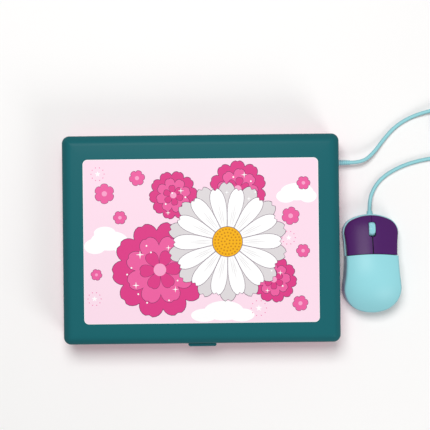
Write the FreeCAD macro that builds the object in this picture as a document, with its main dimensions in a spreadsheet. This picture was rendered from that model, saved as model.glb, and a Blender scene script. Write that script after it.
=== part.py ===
"""Toy laptop computer with a corded mouse, closed, lying as it is sold.

Millimetres, +Z up. The hinge is towards +Y, the finger tab towards -Y, the mouse lies to the +X side.
The origin is on the table, under the middle of the laptop and mouse together.
"""
import FreeCAD, Part
import Sketcher
import math
import os
import re

V = FreeCAD.Vector
UP = V(0, 0, 1)

doc = FreeCAD.newDocument("toy_laptop")
sizes = doc.addObject("Spreadsheet::Sheet", "sizes")
places = doc.addObject("Spreadsheet::Sheet", "places")

# Driving dimensions: name, millimetres (or degrees, or a count), meaning
SIZES = [
    ("case_width", 255.0, "laptop, left to right"),
    ("case_depth", 192.0, "laptop, front to rear"),
    ("wall", 2.0, "side walls of the case"),
    ("plate", 2.0, "floor, deck and lid roof"),
    ("lid_bevel", 6.0, "slope round the lid's top edge"),
    ("top_corner", 1.0, "corner radius left above the slope"),
    ("base_edge", 1.6, "chamfer under the base"),
    ("base_height", 11.0, "side wall of the bottom shell"),
    ("lid_height", 16.2, "lid shell, rim to top"),
    ("lid_gap", 0.4, "deck to lid rim"),
    ("fit_gap", 0.2, "clearance round a piece let into another"),
    ("foot_proud", 2.0, "rubber feet below the base"),
    ("foot_seat", 0.8, "depth of a foot's recess"),
    ("foot_dia", 14.0, "rubber foot"),
    ("foot_in_x", 40.0, "foot centre from the side"),
    ("foot_in_y", 17.0, "foot centre from front or rear"),
    ("screw_dia", 2.8, "case screw shank"),
    ("screw_head_dia", 5.4, "case screw head"),
    ("screw_head", 2.0, "case screw head height"),
    ("screw_clear", 0.3, "clearance round a screw in the piece it passes"),
    ("pilot_clear", 0.05, "clearance round a screw in its boss"),
    ("screw_sunk", 1.2, "screw head below the outside"),
    ("boss_wall", 2.1, "wall of a screw boss or tower"),
    ("screw_in_x", 13.0, "case screw from the side"),
    ("screw_in_y", 22.0, "case screw from front or rear"),
    ("screw_bite", 5.0, "case screw inside its boss"),
    ("label_width", 215.2, "printed panel on the lid"),
    ("label_depth", 150.4, "printed panel on the lid"),
    ("label_corner", 4.4, "printed panel corner"),
    ("label_shift", -1.5, "printed panel centre towards the hinge"),
    ("label_thick", 0.5, "printed panel"),
    ("label_sunk", 0.3, "printed panel below the lid's top"),
    ("tab_width", 26.0, "finger tab at the lid's front"),
    ("tab_proud", 3.0, "finger tab beyond the lid"),
    ("tab_thick", 5.0, "finger tab height"),
    ("tab_lift", 1.0, "finger tab above the lid rim"),
    ("tab_corner", 2.0, "finger tab corner"),
    ("hinge_radius", 5.0, "hinge barrel"),
    ("hinge_gap", 0.4, "running gap round the barrels"),
    ("barrel_length", 60.0, "one hinge barrel"),
    ("barrel_x", 70.0, "barrel centre from the middle"),
    ("ear_length", 9.0, "hinge ear on the deck"),
    ("ear_seat", 4.0, "pin inside its ear"),
    ("pin_dia", 3.6, "hinge pin"),
    ("pin_reach", 14.0, "pin inside the barrel"),
    ("pin_clear", 0.06, "running clearance of a pin, radial"),
    ("open_angle", 115.0, "lid opening, degrees"),
    ("cable_dia", 1.6, "display cable"),
    ("cable_room", 0.4, "clearance round the display cable"),
    ("cable_bend", 2.0, "display cable bend, centre line"),
    ("cell_dia", 14.2, "battery cell"),
    ("cell_length", 48.6, "battery cell without its nub"),
    ("cell_nub", 1.4, "nub length"),
    ("cell_nub_dia", 5.4, "nub"),
    ("cell_slack", 0.5, "room above and below a cell"),
    ("cell_gap", 0.6, "between cells"),
    ("spring_length", 6.0, "pressed contact spring"),
    ("spring_dia", 6.4, "contact spring"),
    ("contact_thick", 0.5, "contact plate"),
    ("contact_width", 9.0, "contact plate"),
    ("thin_wall", 1.6, "battery box walls"),
    ("door_ledge", 2.0, "ledge round the battery opening"),
    ("door_thick", 1.6, "battery door"),
    ("door_ear", 11.0, "battery door beyond the box, for its screw"),
    ("roof_gap", 1.2, "battery box to deck"),
    ("box_x", -50.0, "battery box centre"),
    ("box_y", -46.0, "battery box centre"),
    ("speaker_dia", 40.0, "loudspeaker"),
    ("speaker_depth", 12.0, "loudspeaker"),
    ("speaker_flange", 1.5, "loudspeaker rim"),
    ("magnet_dia", 22.0, "loudspeaker magnet"),
    ("speaker_rib", 4.0, "ring rib that centres the loudspeaker"),
    ("speaker_x", 66.0, "loudspeaker centre"),
    ("speaker_y", -48.0, "loudspeaker centre"),
    ("grille_hole", 2.6, "loudspeaker hole"),
    ("grille_ring", 6.5, "spacing of the rings of holes"),
    ("key_width", 12.0, "letter key"),
    ("key_depth", 10.4, "letter key"),
    ("key_corner", 2.0, "key corner"),
    ("key_pitch_x", 15.0, "letter keys, side by side"),
    ("key_pitch_y", 13.5, "key rows"),
    ("keys_x", -90.0, "first key of the top row"),
    ("keys_y", 58.0, "top row of letter keys"),
    ("key_proud", 1.4, "keys above the deck"),
    ("key_clear", 0.3, "gap round a key in the deck"),
    ("key_lip", 1.2, "retaining lip round a hard key"),
    ("key_flange", 1.3, "retaining lip thickness"),
    ("key_travel", 1.2, "hard key travel"),
    ("key_edge", 0.6, "rounding of a key's top"),
    ("activity_width", 15.0, "activity key"),
    ("activity_depth", 8.0, "activity key"),
    ("activity_pitch", 19.0, "activity keys"),
    ("activity_x", -86.0, "first activity key"),
    ("activity_lift", 16.5, "activity row behind the top key row"),
    ("power_width", 13.0, "on and off keys"),
    ("power_pitch", 20.0, "on key to off key"),
    ("power_shift", 5.0, "off key right of the key block's middle"),
    ("side_x", 82.0, "middle of the right-hand key block"),
    ("enter_width", 30.0, "enter key"),
    ("space_width", 66.0, "space bar"),
    ("space_x", -20.0, "space bar centre"),
    ("mat_thick", 1.2, "silicone sheet under the keys"),
    ("board_thick", 1.6, "circuit boards"),
    ("board_margin", 3.0, "board beyond the outermost keys"),
    ("board_boss", 6.0, "boss that carries the board"),
    ("boss_inset", 1.0, "boss inside the board's edge"),
    ("small_screw", 2.0, "board screw shank"),
    ("small_head_dia", 3.8, "board screw head"),
    ("small_head", 1.4, "board screw head height"),
    ("bezel_recess", 3.0, "lid frame behind the lid rim"),
    ("bezel_thick", 2.0, "lid frame"),
    ("surround_border", 14.0, "lid frame left bare round the printed surround"),
    ("surround_corner", 5.0, "printed surround corner"),
    ("surround_thick", 0.4, "printed surround"),
    ("window_width", 104.0, "screen opening"),
    ("window_depth", 66.0, "screen opening"),
    ("window_y", 8.0, "screen centre towards the lid's free edge"),
    ("window_corner", 3.0, "screen opening corner"),
    ("window_thick", 1.5, "clear window"),
    ("lcd_rim", 4.0, "display beyond the opening, each side"),
    ("lcd_thick", 2.8, "display"),
    ("display_rim", 6.0, "display board beyond the display, each side"),
    ("lid_screw_x", 10.0, "lid screw from the side"),
    ("lid_screw_y", 23.0, "lid screw from front or rear"),
    ("grommet_y", 70.0, "cord exit on the right side"),
    ("grommet_z", 8.6, "cord exit above the table"),
    ("grommet_neck", 6.4, "grommet in the wall"),
    ("grommet_flange", 8.6, "grommet flange"),
    ("grommet_rim", 1.3, "grommet flange thickness"),
    ("grommet_length", 13.0, "grommet outside the case"),
    ("grommet_tail", 5.5, "grommet tail outside the case"),
    ("cord_dia", 3.5, "mouse cord"),
    ("cord_lie", 0.05, "cord above the table"),
    ("coil_x", 117.0, "coil centre right of the laptop"),
    ("coil_y", 27.5, "coil centre behind the cord's exit"),
    ("coil_out", 22.75, "coil, outermost turn's centre line"),
    ("coil_step", 4.0, "coil, turn to turn"),
    ("coil_turns", 3.5, "coil, turns in both layers together"),
    ("coil_lift", 0.9, "coil above the table"),
    ("coil_layer", 4.1, "coil, layer to layer"),
    ("tie_gap", 0.6, "tie to cord"),
    ("tie_thick", 0.25, "tie"),
    ("tie_width", 6.0, "tie"),
    ("mouse_gap", 4.9, "laptop to mouse"),
    ("mouse_back", 24.9, "mouse centre in front of the laptop's"),
    ("mouse_length", 92.2, "mouse"),
    ("mouse_head", 26.1, "half width at the buttons"),
    ("mouse_tail", 26.7, "half width at the palm"),
    ("nose_radius", 40.0, "front curve in plan"),
    ("head_radius", 14.5, "front corners in plan"),
    ("tail_radius", 36.0, "rear curve in plan"),
    ("rump_radius", 22.0, "rear corners in plan"),
    ("waist_radius", 150.0, "hollow of the sides in plan"),
    ("mouse_wall", 1.8, "mouse housing"),
    ("glide_proud", 0.6, "glide pads below the mouse"),
    ("mouse_split", 9.5, "lower shell's top edge above the table"),
    ("nose_top", 15.0, "mouse height at the nose"),
    ("wheel_top", 22.5, "mouse height at the wheel"),
    ("seam_top", 29.2, "mouse height at the seam"),
    ("crest_top", 32.0, "mouse height at the crest"),
    ("rear_top", 28.0, "mouse height behind the crest"),
    ("crest_back", 12.0, "crest behind the mouse's middle"),
    ("rear_back", 30.0, "start of the fall to the tail, behind the middle"),
    ("tail_top", 15.0, "mouse height at the tail"),
    ("crown_drop", 9.5, "fall from the middle to the sides"),
    ("shoulder", 3.4, "rounding of the mouse's top edge"),
    ("button_drop", 0.7, "buttons below the palm cover"),
    ("button_inset", 1.0, "buttons drawn in from the lower shell"),
    ("seam_y", 7.0, "seam at the mouse's sides"),
    ("seam_rise", 2.1, "seam bows this far towards the nose"),
    ("seam_gap", 0.5, "gap at the seam"),
    ("slit", 0.9, "gap between the buttons, behind the wheel"),
    ("slit_front", 0.3, "gap between the buttons, in front of the wheel"),
    ("click_gap", 1.6, "room under the buttons"),
    ("wheel_y", 32.0, "wheel in front of the mouse's middle"),
    ("wheel_dia", 13.0, "scroll wheel"),
    ("wheel_width", 6.1, "scroll wheel"),
    ("wheel_proud", 2.0, "scroll wheel above the buttons"),
    ("wheel_clear", 0.35, "gap round the wheel in its slot"),
    ("slot_corner", 2.0, "corners of the wheel's slot"),
    ("axle_dia", 2.4, "wheel axle"),
    ("axle_over", 0.5, "axle beyond its ribs"),
    ("axle_clear", 0.06, "running clearance of the axle, radial"),
    ("rib_thick", 2.0, "ribs that carry the axle"),
    ("rib_gap", 0.2, "ribs clear of the slot"),
    ("rib_root", 1.0, "ribs and posts sunk into what carries them"),
    ("switch_x", 14.0, "click switch from the middle"),
    ("switch_y", 18.0, "click switch in front of the middle"),
    ("switch_side", 6.0, "click switch body"),
    ("switch_height", 4.6, "click switch body"),
    ("switch_nub", 3.0, "click switch plunger"),
    ("nub_proud", 1.0, "click switch plunger above its body"),
    ("switch_gap", 0.25, "button post to switch"),
    ("click_y", 12.5, "button pivot in front of the middle"),
    ("click_z", 12.6, "button pivot above the table"),
    ("click_x", 10.0, "button pivot's arm from the middle"),
    ("click_pin", 2.2, "button pivot pin"),
    ("click_arm", 2.0, "button pivot's arm and bearing, thickness"),
    ("click_edge", 0.5, "arm beyond its pin, each side"),
    ("click_side", 0.3, "arm to bearing"),
    ("lens_width", 9.0, "sensor hole"),
    ("lens_length", 13.0, "sensor hole"),
    ("lens_y", -2.0, "sensor hole centre"),
    ("glide_long", 22.0, "glide pad"),
    ("glide_wide", 6.0, "glide pad"),
    ("glide_seat", 0.4, "depth of a glide pad's recess"),
    ("glide_front", 34.0, "front glide pad in front of the middle"),
    ("glide_rear", 36.0, "rear glide pad behind the middle"),
    ("chip_lift", 2.0, "mouse board above the floor"),
    ("chip_half", 21.0, "mouse board, half width"),
    ("chip_rear", 31.0, "mouse board behind the middle"),
    ("chip_post_y", 6.0, "rear board posts behind the middle"),
    ("mouse_screw_x", 15.0, "mouse screw from the middle"),
    ("mouse_screw_y", -24.0, "mouse screw"),
    ("mouse_screw_sunk", 0.4, "mouse screw head below the floor"),
    ("relief_z", 5.2, "cord centre at the mouse"),
    ("relief_dia", 5.4, "cord relief"),
    ("relief_proud", 3.0, "cord relief outside the mouse"),
]

# Places that follow from the sizes
PLACES = [
    ("case_corner", "lid_bevel + top_corner"),
    ("laptop_x", "-(mouse_gap + 2 * max(mouse_head; mouse_tail)) / 2"),
    ("laptop_y", "tab_proud / 2"),
    ("mouse_x", "laptop_x + case_width / 2 + mouse_gap + max(mouse_head; mouse_tail)"),
    ("mouse_y", "laptop_y - mouse_back"),
    ("z_base", "foot_proud"),
    ("z_floor", "z_base + plate"),
    ("z_seam", "z_base + base_height"),
    ("z_box", "z_floor + cell_dia + 2 * cell_slack + thin_wall"),
    ("z_under", "z_box + roof_gap"),
    ("z_deck", "z_under + plate"),
    ("z_rim", "z_deck + lid_gap"),
    ("z_top", "z_rim + lid_height"),
    ("z_roof", "z_top - plate"),
    ("z_bezel", "z_rim + bezel_recess"),
    ("z_bezel_back", "z_bezel + bezel_thick"),
    ("z_flange", "z_under - fit_gap - key_flange"),
    ("z_mat", "z_flange - key_travel - fit_gap"),
    ("z_board", "z_mat - mat_thick"),
    ("z_screw", "z_base + screw_sunk + screw_head"),
    ("screw_x", "case_width / 2 - screw_in_x"),
    ("screw_y", "case_depth / 2 - screw_in_y"),
    ("boss_dia", "screw_dia + 2 * boss_wall"),
    ("hinge_y", "case_depth / 2 - hinge_radius"),
    ("trough", "hinge_radius + hinge_gap"),
    ("ear_out", "barrel_x + barrel_length / 2 + hinge_gap"),
    ("ear_in", "barrel_x - barrel_length / 2 - hinge_gap - ear_length"),
    ("cable_x", "-(ear_out + ear_seat + cable_dia / 2 + 2 * cable_room)"),
    ("meet_x", "-(ear_out - hinge_gap - pin_reach)"),
    ("box_length", "cell_length + cell_nub + spring_length + 2 * contact_thick"),
    ("box_depth", "3 * cell_dia + 4 * cell_gap"),
    ("box_rim", "door_ledge + thin_wall"),
    ("cell_z", "z_floor + cell_slack + cell_dia / 2"),
    ("door_screw_x", "box_x + box_length / 2 + door_ledge + door_ear / 2"),
    ("activity_y", "keys_y + activity_lift"),
    ("arrow_y", "keys_y - 2.5 * key_pitch_y"),
    ("board_half", "side_x + key_pitch_x + key_width / 2 + key_lip + board_margin"),
    ("board_front", "keys_y - 4 * key_pitch_y - key_depth / 2 - board_margin"),
    ("board_rear", "activity_y + activity_depth / 2 + key_lip + board_margin - boss_inset"),
    ("z_lcd", "z_bezel_back + lcd_thick"),
    ("lcd_width", "window_width + 2 * lcd_rim"),
    ("lcd_depth", "window_depth + 2 * lcd_rim"),
    ("post_x", "lcd_width / 2 + display_rim / 2"),
    ("post_y", "lcd_depth / 2 + display_rim / 2"),
    ("lid_boss_x", "case_width / 2 - lid_screw_x"),
    ("lid_boss_y", "case_depth / 2 - lid_screw_y"),
    ("wheel_z", "wheel_top - button_drop + wheel_proud - wheel_dia / 2"),
    ("z_mouse", "glide_proud + mouse_wall"),
    ("z_chip", "z_mouse + chip_lift"),
]

NAMES = {name: "sizes" for name, _, _ in SIZES}
NAMES.update({name: "places" for name, _ in PLACES})


def formula(text):
    """An expression in plain names, with each name told which sheet holds it."""
    return re.sub(r"[a-z][a-z_]*", lambda m: f"{NAMES[m[0]]}.{m[0]}" if m[0] in NAMES else m[0], text)


for row, (name, number, meaning) in enumerate(SIZES, 1):
    sizes.set(f"A{row}", meaning)
    sizes.set(f"B{row}", str(number))
    sizes.setAlias(f"B{row}", name)
doc.recompute()
for row, (name, text) in enumerate(PLACES, 1):
    places.set(f"A{row}", name)
    places.set(f"B{row}", "=" + formula(text))
    places.setAlias(f"B{row}", name)
    doc.recompute()


def size(text):
    """The number that an expression in plain names comes to."""
    return float(sizes.evalExpression(formula(text)))


def vary(signs, *pairs):
    """The same place mirrored to each of the sign pairs."""
    return [(f"{sx} * ({x})", f"{sy} * ({y})") for x, y in pairs for sx, sy in signs]


FOUR = [(1, 1), (-1, 1), (-1, -1), (1, -1)]
PAIR = [(1, 1), (-1, 1)]
parts = {}
HOMES = {"laptop": ("laptop_x", "laptop_y"), "mouse": ("mouse_x", "mouse_y"), "table": ("0", "0")}


def settle(thing, label, home):
    """Names a sub-part and puts it in its place."""
    thing.Label = label
    for axis, text in zip("xy", HOMES[home]):
        thing.setExpression(f"Placement.Base.{axis}", formula(text))
    parts[label] = thing


def fix(sketch, kind, items, text):
    """A sketch constraint whose size is an expression."""
    number = sketch.addConstraint(Sketcher.Constraint(kind, *items, size(text)))
    sketch.renameConstraint(number, f"d{number}")
    sketch.setExpression(f"Constraints.d{number}", formula(text))


def circles(diameter, centres):
    """Draws circles of one diameter."""
    def draw(sketch):
        for x, y in centres:
            ring = sketch.addGeometry(Part.Circle(V(size(x), size(y), 0), UP, size(diameter) / 2))
            fix(sketch, "Diameter", (ring,), diameter)
            fix(sketch, "DistanceX", (-1, 1, ring, 3), x)
            fix(sketch, "DistanceY", (-1, 1, ring, 3), y)
    return draw


def rounded(width, depth, radius, x="0", y="0"):
    """Draws a rectangle with round corners about a centre."""
    def draw(sketch):
        w, d, r, cx, cy = (size(text) for text in (f"({width}) / 2", f"({depth}) / 2", radius, x, y))
        turns = [(1, -1, -90), (1, 1, 0), (-1, 1, 90), (-1, -1, 180)]
        centres = [V(cx + sx * (w - r), cy + sy * (d - r), 0) for sx, sy, _ in turns]
        arcs = []
        for centre, (_, _, start) in zip(centres, turns):
            circle = Part.Circle(centre, UP, r)
            ends = math.radians(start), math.radians(start + 90)
            arcs.append(sketch.addGeometry(Part.ArcOfCircle(circle, *ends)))
        lines = []
        for i in range(4):
            a = sketch.getPoint(arcs[i], 2)
            b = sketch.getPoint(arcs[(i + 1) % 4], 1)
            lines.append(sketch.addGeometry(Part.LineSegment(a, b)))
        for i in range(4):
            sketch.addConstraint(Sketcher.Constraint("Tangent", arcs[i], 2, lines[i], 1))
            sketch.addConstraint(Sketcher.Constraint("Tangent", lines[i], 2, arcs[(i + 1) % 4], 1))
            sketch.addConstraint(Sketcher.Constraint("Vertical" if i % 2 == 0 else "Horizontal", lines[i]))
        for arc in arcs[1:]:
            sketch.addConstraint(Sketcher.Constraint("Equal", arcs[0], arc))
        fix(sketch, "Radius", (arcs[0],), radius)
        fix(sketch, "DistanceX", (-1, 1, lines[0], 1), f"{x} + ({width}) / 2")
        fix(sketch, "DistanceX", (-1, 1, lines[2], 1), f"{x} - ({width}) / 2")
        fix(sketch, "DistanceY", (-1, 1, lines[1], 1), f"{y} + ({depth}) / 2")
        fix(sketch, "DistanceY", (-1, 1, lines[3], 1), f"{y} - ({depth}) / 2")
    return draw


def outline(*points):
    """Draws a closed outline; a third item makes the run to the next point an arc of that radius."""
    def draw(sketch):
        spots = [V(size(p[0]), size(p[1]), 0) for p in points]
        edges = []
        for i, point in enumerate(points):
            a, b = spots[i], spots[(i + 1) % len(spots)]
            if len(point) == 2:
                edges.append(sketch.addGeometry(Part.LineSegment(a, b)))
                continue
            radius = size(point[2])
            half = (b - a) / 2
            rise = math.sqrt(radius ** 2 - half.Length ** 2)
            centre = a + half + V(-half.y, half.x, 0).normalize() * rise
            ends = [math.atan2((p - centre).y, (p - centre).x) for p in (a, b)]
            edges.append(sketch.addGeometry(Part.ArcOfCircle(Part.Circle(centre, UP, radius), *ends)))
        for i, point in enumerate(points):
            after = edges[(i + 1) % len(edges)]
            sketch.addConstraint(Sketcher.Constraint("Coincident", edges[i], 2, after, 1))
            fix(sketch, "DistanceX", (-1, 1, edges[i], 1), point[0])
            fix(sketch, "DistanceY", (-1, 1, edges[i], 1), point[1])
            if len(point) == 3:
                fix(sketch, "Radius", (edges[i],), point[2])
    return draw


def box(x0, x1, y0, y1):
    """Draws a plain rectangle."""
    return outline((x0, y0), (x1, y0), (x1, y1), (x0, y1))


class Piece:
    """One sub-part as a body: sketches padded and cut, one after another."""

    def __init__(self, label, home="laptop"):
        self.body = doc.addObject("PartDesign::Body", label)
        self.body.AllowCompound = True
        settle(self.body, label, home)
        self.planes = {feature.Role: feature for feature in self.body.Origin.OriginFeatures}

    def feature(self, kind):
        return self.body.newObject(f"PartDesign::{kind}", f"{self.body.Name}_{kind.lower()}")

    def sketch(self, draw, level, plane):
        sketch = self.body.newObject("Sketcher::SketchObject", f"{self.body.Name}_sketch")
        sketch.AttachmentSupport = [(self.planes[f"{plane}_Plane"], "")]
        sketch.MapMode = "FlatFace"
        sketch.setExpression("AttachmentOffset.Base.z", formula(level))
        draw(sketch)
        return sketch

    def pad(self, draw, level, length, plane="XY"):
        """Adds the drawing from a level on: upwards, or towards +X from a YZ drawing."""
        pad = self.feature("Pad")
        pad.Profile = self.sketch(draw, level, plane)
        pad.setExpression("Length", formula(length))
        return pad

    def cut(self, draw, level, length, plane="XY"):
        """Cuts the drawing from a level on: downwards, or towards -X from a YZ drawing."""
        pocket = self.feature("Pocket")
        pocket.Profile = self.sketch(draw, level, plane)
        pocket.setExpression("Length", formula(length))
        pocket.Refine = False
        return pocket

    def row(self, original, pitch, count):
        """Repeats the last pad or cut along X."""
        pattern = self.feature("LinearPattern")
        pattern.Originals = [original]
        pattern.Direction = (original.Profile[0], ["H_Axis"])
        pattern.Mode = "Spacing"
        pattern.setExpression("Offset", formula(pitch))
        pattern.Occurrences = count
        pattern.Refine = False
        self.body.Tip = pattern

    def revolve(self, draw, level, plane):
        """Turns the drawing about its own horizontal axis."""
        turn = self.feature("Revolution")
        turn.Profile = self.sketch(draw, level, plane)
        turn.ReferenceAxis = (turn.Profile[0], ["H_Axis"])
        turn.Angle = 360

    def flat_face(self, side):
        """The name of the level face that is highest (side 1) or lowest (side -1)."""
        doc.recompute()
        faces = self.body.Tip.Shape.Faces
        level = [i for i, f in enumerate(faces) if abs(f.normalAt(0, 0).z) > 0.999]
        best = max(level, key=lambda i: side * faces[i].CenterOfMass.z)
        return f"Face{best + 1}"

    def ease(self, kind, side, amount):
        """Fillets or chamfers the edges round the highest or lowest level face."""
        base = self.body.Tip
        name = self.flat_face(side)
        edge = self.feature(kind)
        edge.Base = (base, [name])
        edge.setExpression("Radius" if kind == "Fillet" else "Size", formula(amount))


# Bottom shell: a tub with screw towers and the battery box, open underneath for the door
CASE_SCREWS = vary(FOUR, ("screw_x", "screw_y")) + vary(PAIR, ("screw_x", "0"))
FEET = vary(FOUR, ("case_width / 2 - foot_in_x", "case_depth / 2 - foot_in_y"))
DOOR_MID = "box_x + door_ear / 2"
DOOR_LONG = "box_length + 2 * door_ledge + door_ear"
DOOR_WIDE = "box_depth + 2 * door_ledge"
DOOR_SCREW = [("door_screw_x", "box_y")]

shell = Piece("base_bottom_shell")
shell.pad(rounded("case_width", "case_depth", "case_corner"), "z_base", "base_height")
shell.ease("Chamfer", -1, "base_edge")
shell.cut(rounded("case_width - 2 * wall", "case_depth - 2 * wall", "case_corner - wall"),
          "z_seam", "base_height - plate")
shell.pad(circles("boss_dia + 2 * screw_clear", CASE_SCREWS), "z_floor", "z_seam - z_floor")
shell.pad(rounded("box_length + 2 * box_rim", "box_depth + 2 * box_rim", "box_rim", "box_x", "box_y"),
          "z_floor", "z_box - z_floor")
shell.pad(circles("boss_dia + 2 * screw_clear", DOOR_SCREW), "z_floor", "screw_bite + screw_head")
BOX_LEFT = "box_x - box_length / 2"
BOX_RIGHT = "box_x + box_length / 2"
shell.cut(box(BOX_LEFT, BOX_RIGHT, "box_y - box_depth / 2", "box_y + box_depth / 2"),
          "z_box - thin_wall", "z_box - thin_wall - z_base")
shell.cut(rounded(f"{DOOR_LONG} + 2 * fit_gap", f"{DOOR_WIDE} + 2 * fit_gap", "door_ledge + fit_gap",
                  DOOR_MID, "box_y"), "z_base + door_thick", "door_thick")
shell.cut(circles("screw_dia + 2 * pilot_clear", DOOR_SCREW),
          "z_floor + screw_bite + screw_head - plate / 2", "screw_bite + screw_head + plate / 2 - door_thick")
shell.cut(circles("screw_head_dia + 2 * screw_clear", CASE_SCREWS), "z_screw", "z_screw - z_base")
shell.cut(circles("screw_dia + 2 * screw_clear", CASE_SCREWS), "z_seam", "z_seam - z_base")
shell.cut(circles("foot_dia + 2 * fit_gap", FEET), "z_base + foot_seat", "foot_seat")
EXIT = [("grommet_y", "grommet_z")]
shell.cut(circles("grommet_neck + 2 * fit_gap", EXIT), "case_width / 2", "2 * wall", "YZ")

feet = Piece("rubber_feet")
feet.pad(circles("foot_dia", FEET), "0", "foot_proud + foot_seat")

screws = Piece("base_case_screws")
screws.pad(circles("screw_head_dia", CASE_SCREWS), "z_screw - screw_head", "screw_head")
screws.pad(circles("screw_dia", CASE_SCREWS), "z_screw", "z_seam + screw_bite - z_screw")

# Battery door, its screw, the cells and their contacts
door = Piece("battery_door")
door.pad(rounded(DOOR_LONG, DOOR_WIDE, "door_ledge", DOOR_MID, "box_y"), "z_base", "door_thick")
door.cut(circles("screw_dia + 2 * screw_clear", DOOR_SCREW), "z_base + door_thick", "door_thick")

door_screw = Piece("battery_door_screw")
door_screw.pad(circles("screw_head_dia", DOOR_SCREW), "z_base - foot_proud / 2", "foot_proud / 2")
door_screw.pad(circles("screw_dia", DOOR_SCREW), "z_base", "plate + screw_bite")

CELL_SPOTS = [(f"box_y + {i} * (cell_dia + cell_gap)", "cell_z") for i in (-1, 0, 1)]
NUB_RIGHT = f"{BOX_RIGHT} - contact_thick - cell_nub"
NUB_LEFT = f"{BOX_LEFT} + contact_thick + cell_nub"
OUTER_CELLS = [CELL_SPOTS[0], CELL_SPOTS[2]]
MIDDLE_CELL = [CELL_SPOTS[1]]
cells = Piece("battery_cells")
cells.pad(circles("cell_dia", OUTER_CELLS), f"{NUB_RIGHT} - cell_length", "cell_length", "YZ")
cells.pad(circles("cell_nub_dia", OUTER_CELLS), NUB_RIGHT, "cell_nub", "YZ")
cells.pad(circles("cell_dia", MIDDLE_CELL), NUB_LEFT, "cell_length", "YZ")
cells.pad(circles("cell_nub_dia", MIDDLE_CELL), f"{NUB_LEFT} - cell_nub", "cell_nub", "YZ")

contacts = Piece("battery_contacts")
for level in (BOX_LEFT, f"{BOX_RIGHT} - contact_thick"):
    for y, z in CELL_SPOTS:
        plate = box(f"{y} - contact_width / 2", f"{y} + contact_width / 2",
                    f"{z} - contact_width / 2", f"{z} + contact_width / 2")
        contacts.pad(plate, level, "contact_thick", "YZ")
contacts.pad(circles("spring_dia", OUTER_CELLS), f"{BOX_LEFT} + contact_thick", "spring_length", "YZ")
contacts.pad(circles("spring_dia", MIDDLE_CELL), f"{BOX_RIGHT} - contact_thick - spring_length",
             "spring_length", "YZ")

# Deck: walls, key apertures, grille, bosses, and the rear trough that the lid's edge turns in
ROWS = [("keys_x", 10), ("keys_x + 0.3 * key_pitch_x", 10), ("keys_x + 0.6 * key_pitch_x", 9),
        ("keys_x + 1.1 * key_pitch_x", 7)]
HARD_KEYS = {f"activity_key_{i + 1}": (f"activity_x + {i} * activity_pitch", "activity_y",
                                       "activity_width", "activity_depth") for i in range(8)}
HARD_KEYS.update({
    "key_on": ("side_x + power_shift - power_pitch", "activity_y", "power_width", "activity_depth"),
    "key_off": ("side_x + power_shift", "activity_y", "power_width", "activity_depth"),
    "key_enter": ("side_x", "keys_y - 0.5 * key_pitch_y", "enter_width", "key_depth"),
    "key_up": ("side_x", "arrow_y + key_pitch_y", "key_width", "key_depth"),
    "key_left": ("side_x - key_pitch_x", "arrow_y", "key_width", "key_depth"),
    "key_right": ("side_x + key_pitch_x", "arrow_y", "key_width", "key_depth"),
    "key_down": ("side_x", "arrow_y - key_pitch_y", "key_width", "key_depth"),
    "key_space": ("space_x", "keys_y - 4 * key_pitch_y", "space_width", "key_depth"),
})
BOSS_X = "board_half - board_boss / 2 - boss_inset"
BOARD_BOSSES = vary(PAIR, (BOSS_X, "board_front + board_boss / 2 + boss_inset"),
                    (BOSS_X, "board_rear - board_boss / 2 - boss_inset"))
GRILLE = [("speaker_x", "speaker_y")]
for ring, count in ((1, 6), (2, 12)):
    for i in range(count):
        turn = 360 * i / count
        GRILLE.append((f"speaker_x + {ring} * grille_ring * cos({turn})",
                       f"speaker_y + {ring} * grille_ring * sin({turn})"))
# The lid's rear face at full opening: the foot of its normal on the trough, and a way along it
FOOT_Y = "hinge_y + trough * cos(open_angle)"
FOOT_Z = "z_deck - trough * sin(open_angle)"
LIP_Z = f"{FOOT_Z} + (hinge_radius - trough * cos(open_angle)) / tan(open_angle)"
CLEAR = "2 * case_corner"
EARS = ["ear_out", "ear_in", "-ear_out - ear_length", "-ear_in - ear_length"]
HINGE = [("hinge_y", "z_deck")]

deck = Piece("base_top_deck")
deck.pad(rounded("case_width", "case_depth", "case_corner"), "z_seam", "z_deck - z_seam")
deck.cut(outline(("hinge_y - trough", "z_deck", "trough"), (FOOT_Y, FOOT_Z),
                 ("case_depth / 2", LIP_Z), (f"case_depth / 2 + {CLEAR}", LIP_Z),
                 (f"case_depth / 2 + {CLEAR}", f"z_deck + {CLEAR}"),
                 ("hinge_y - trough", f"z_deck + {CLEAR}")),
         "case_width / 2", "case_width", "YZ")
deck.cut(rounded("case_width - 2 * wall", "case_depth / 2 - wall + hinge_y - trough - wall",
                 "case_corner - wall", "0", "(hinge_y - trough - case_depth / 2) / 2"),
         "z_under", "z_under - z_seam")
deck.cut(outline(("hinge_y - trough - wall", "z_seam"), ("case_depth / 2 - wall", "z_seam"),
                 ("case_depth / 2 - wall", f"{LIP_Z} - wall"), (FOOT_Y, f"{FOOT_Z} - 1.2 * wall"),
                 ("hinge_y - trough - wall", "z_under - wall / 2")),
         "case_width / 2 - case_corner", "case_width - 2 * case_corner", "YZ")
deck.pad(circles("boss_dia", CASE_SCREWS), "z_seam", "z_under - z_seam")
deck.pad(circles("board_boss", BOARD_BOSSES), "z_board", "z_under - z_board")
deck.pad(circles("speaker_dia + 2 * (fit_gap + thin_wall)", GRILLE[:1]), "z_under - speaker_rib",
         "speaker_rib")
deck.cut(circles("speaker_dia + 2 * fit_gap", GRILLE[:1]), "z_under", "speaker_rib")
deck.cut(circles("grille_hole", GRILLE), "z_deck", "plate")
deck.cut(circles("screw_dia + 2 * pilot_clear", CASE_SCREWS), "z_seam + screw_bite + wall",
         "screw_bite + wall")
deck.cut(circles("small_screw + 2 * pilot_clear", BOARD_BOSSES), "z_under - plate / 4",
         "z_under - plate / 4 - z_board")
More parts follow.
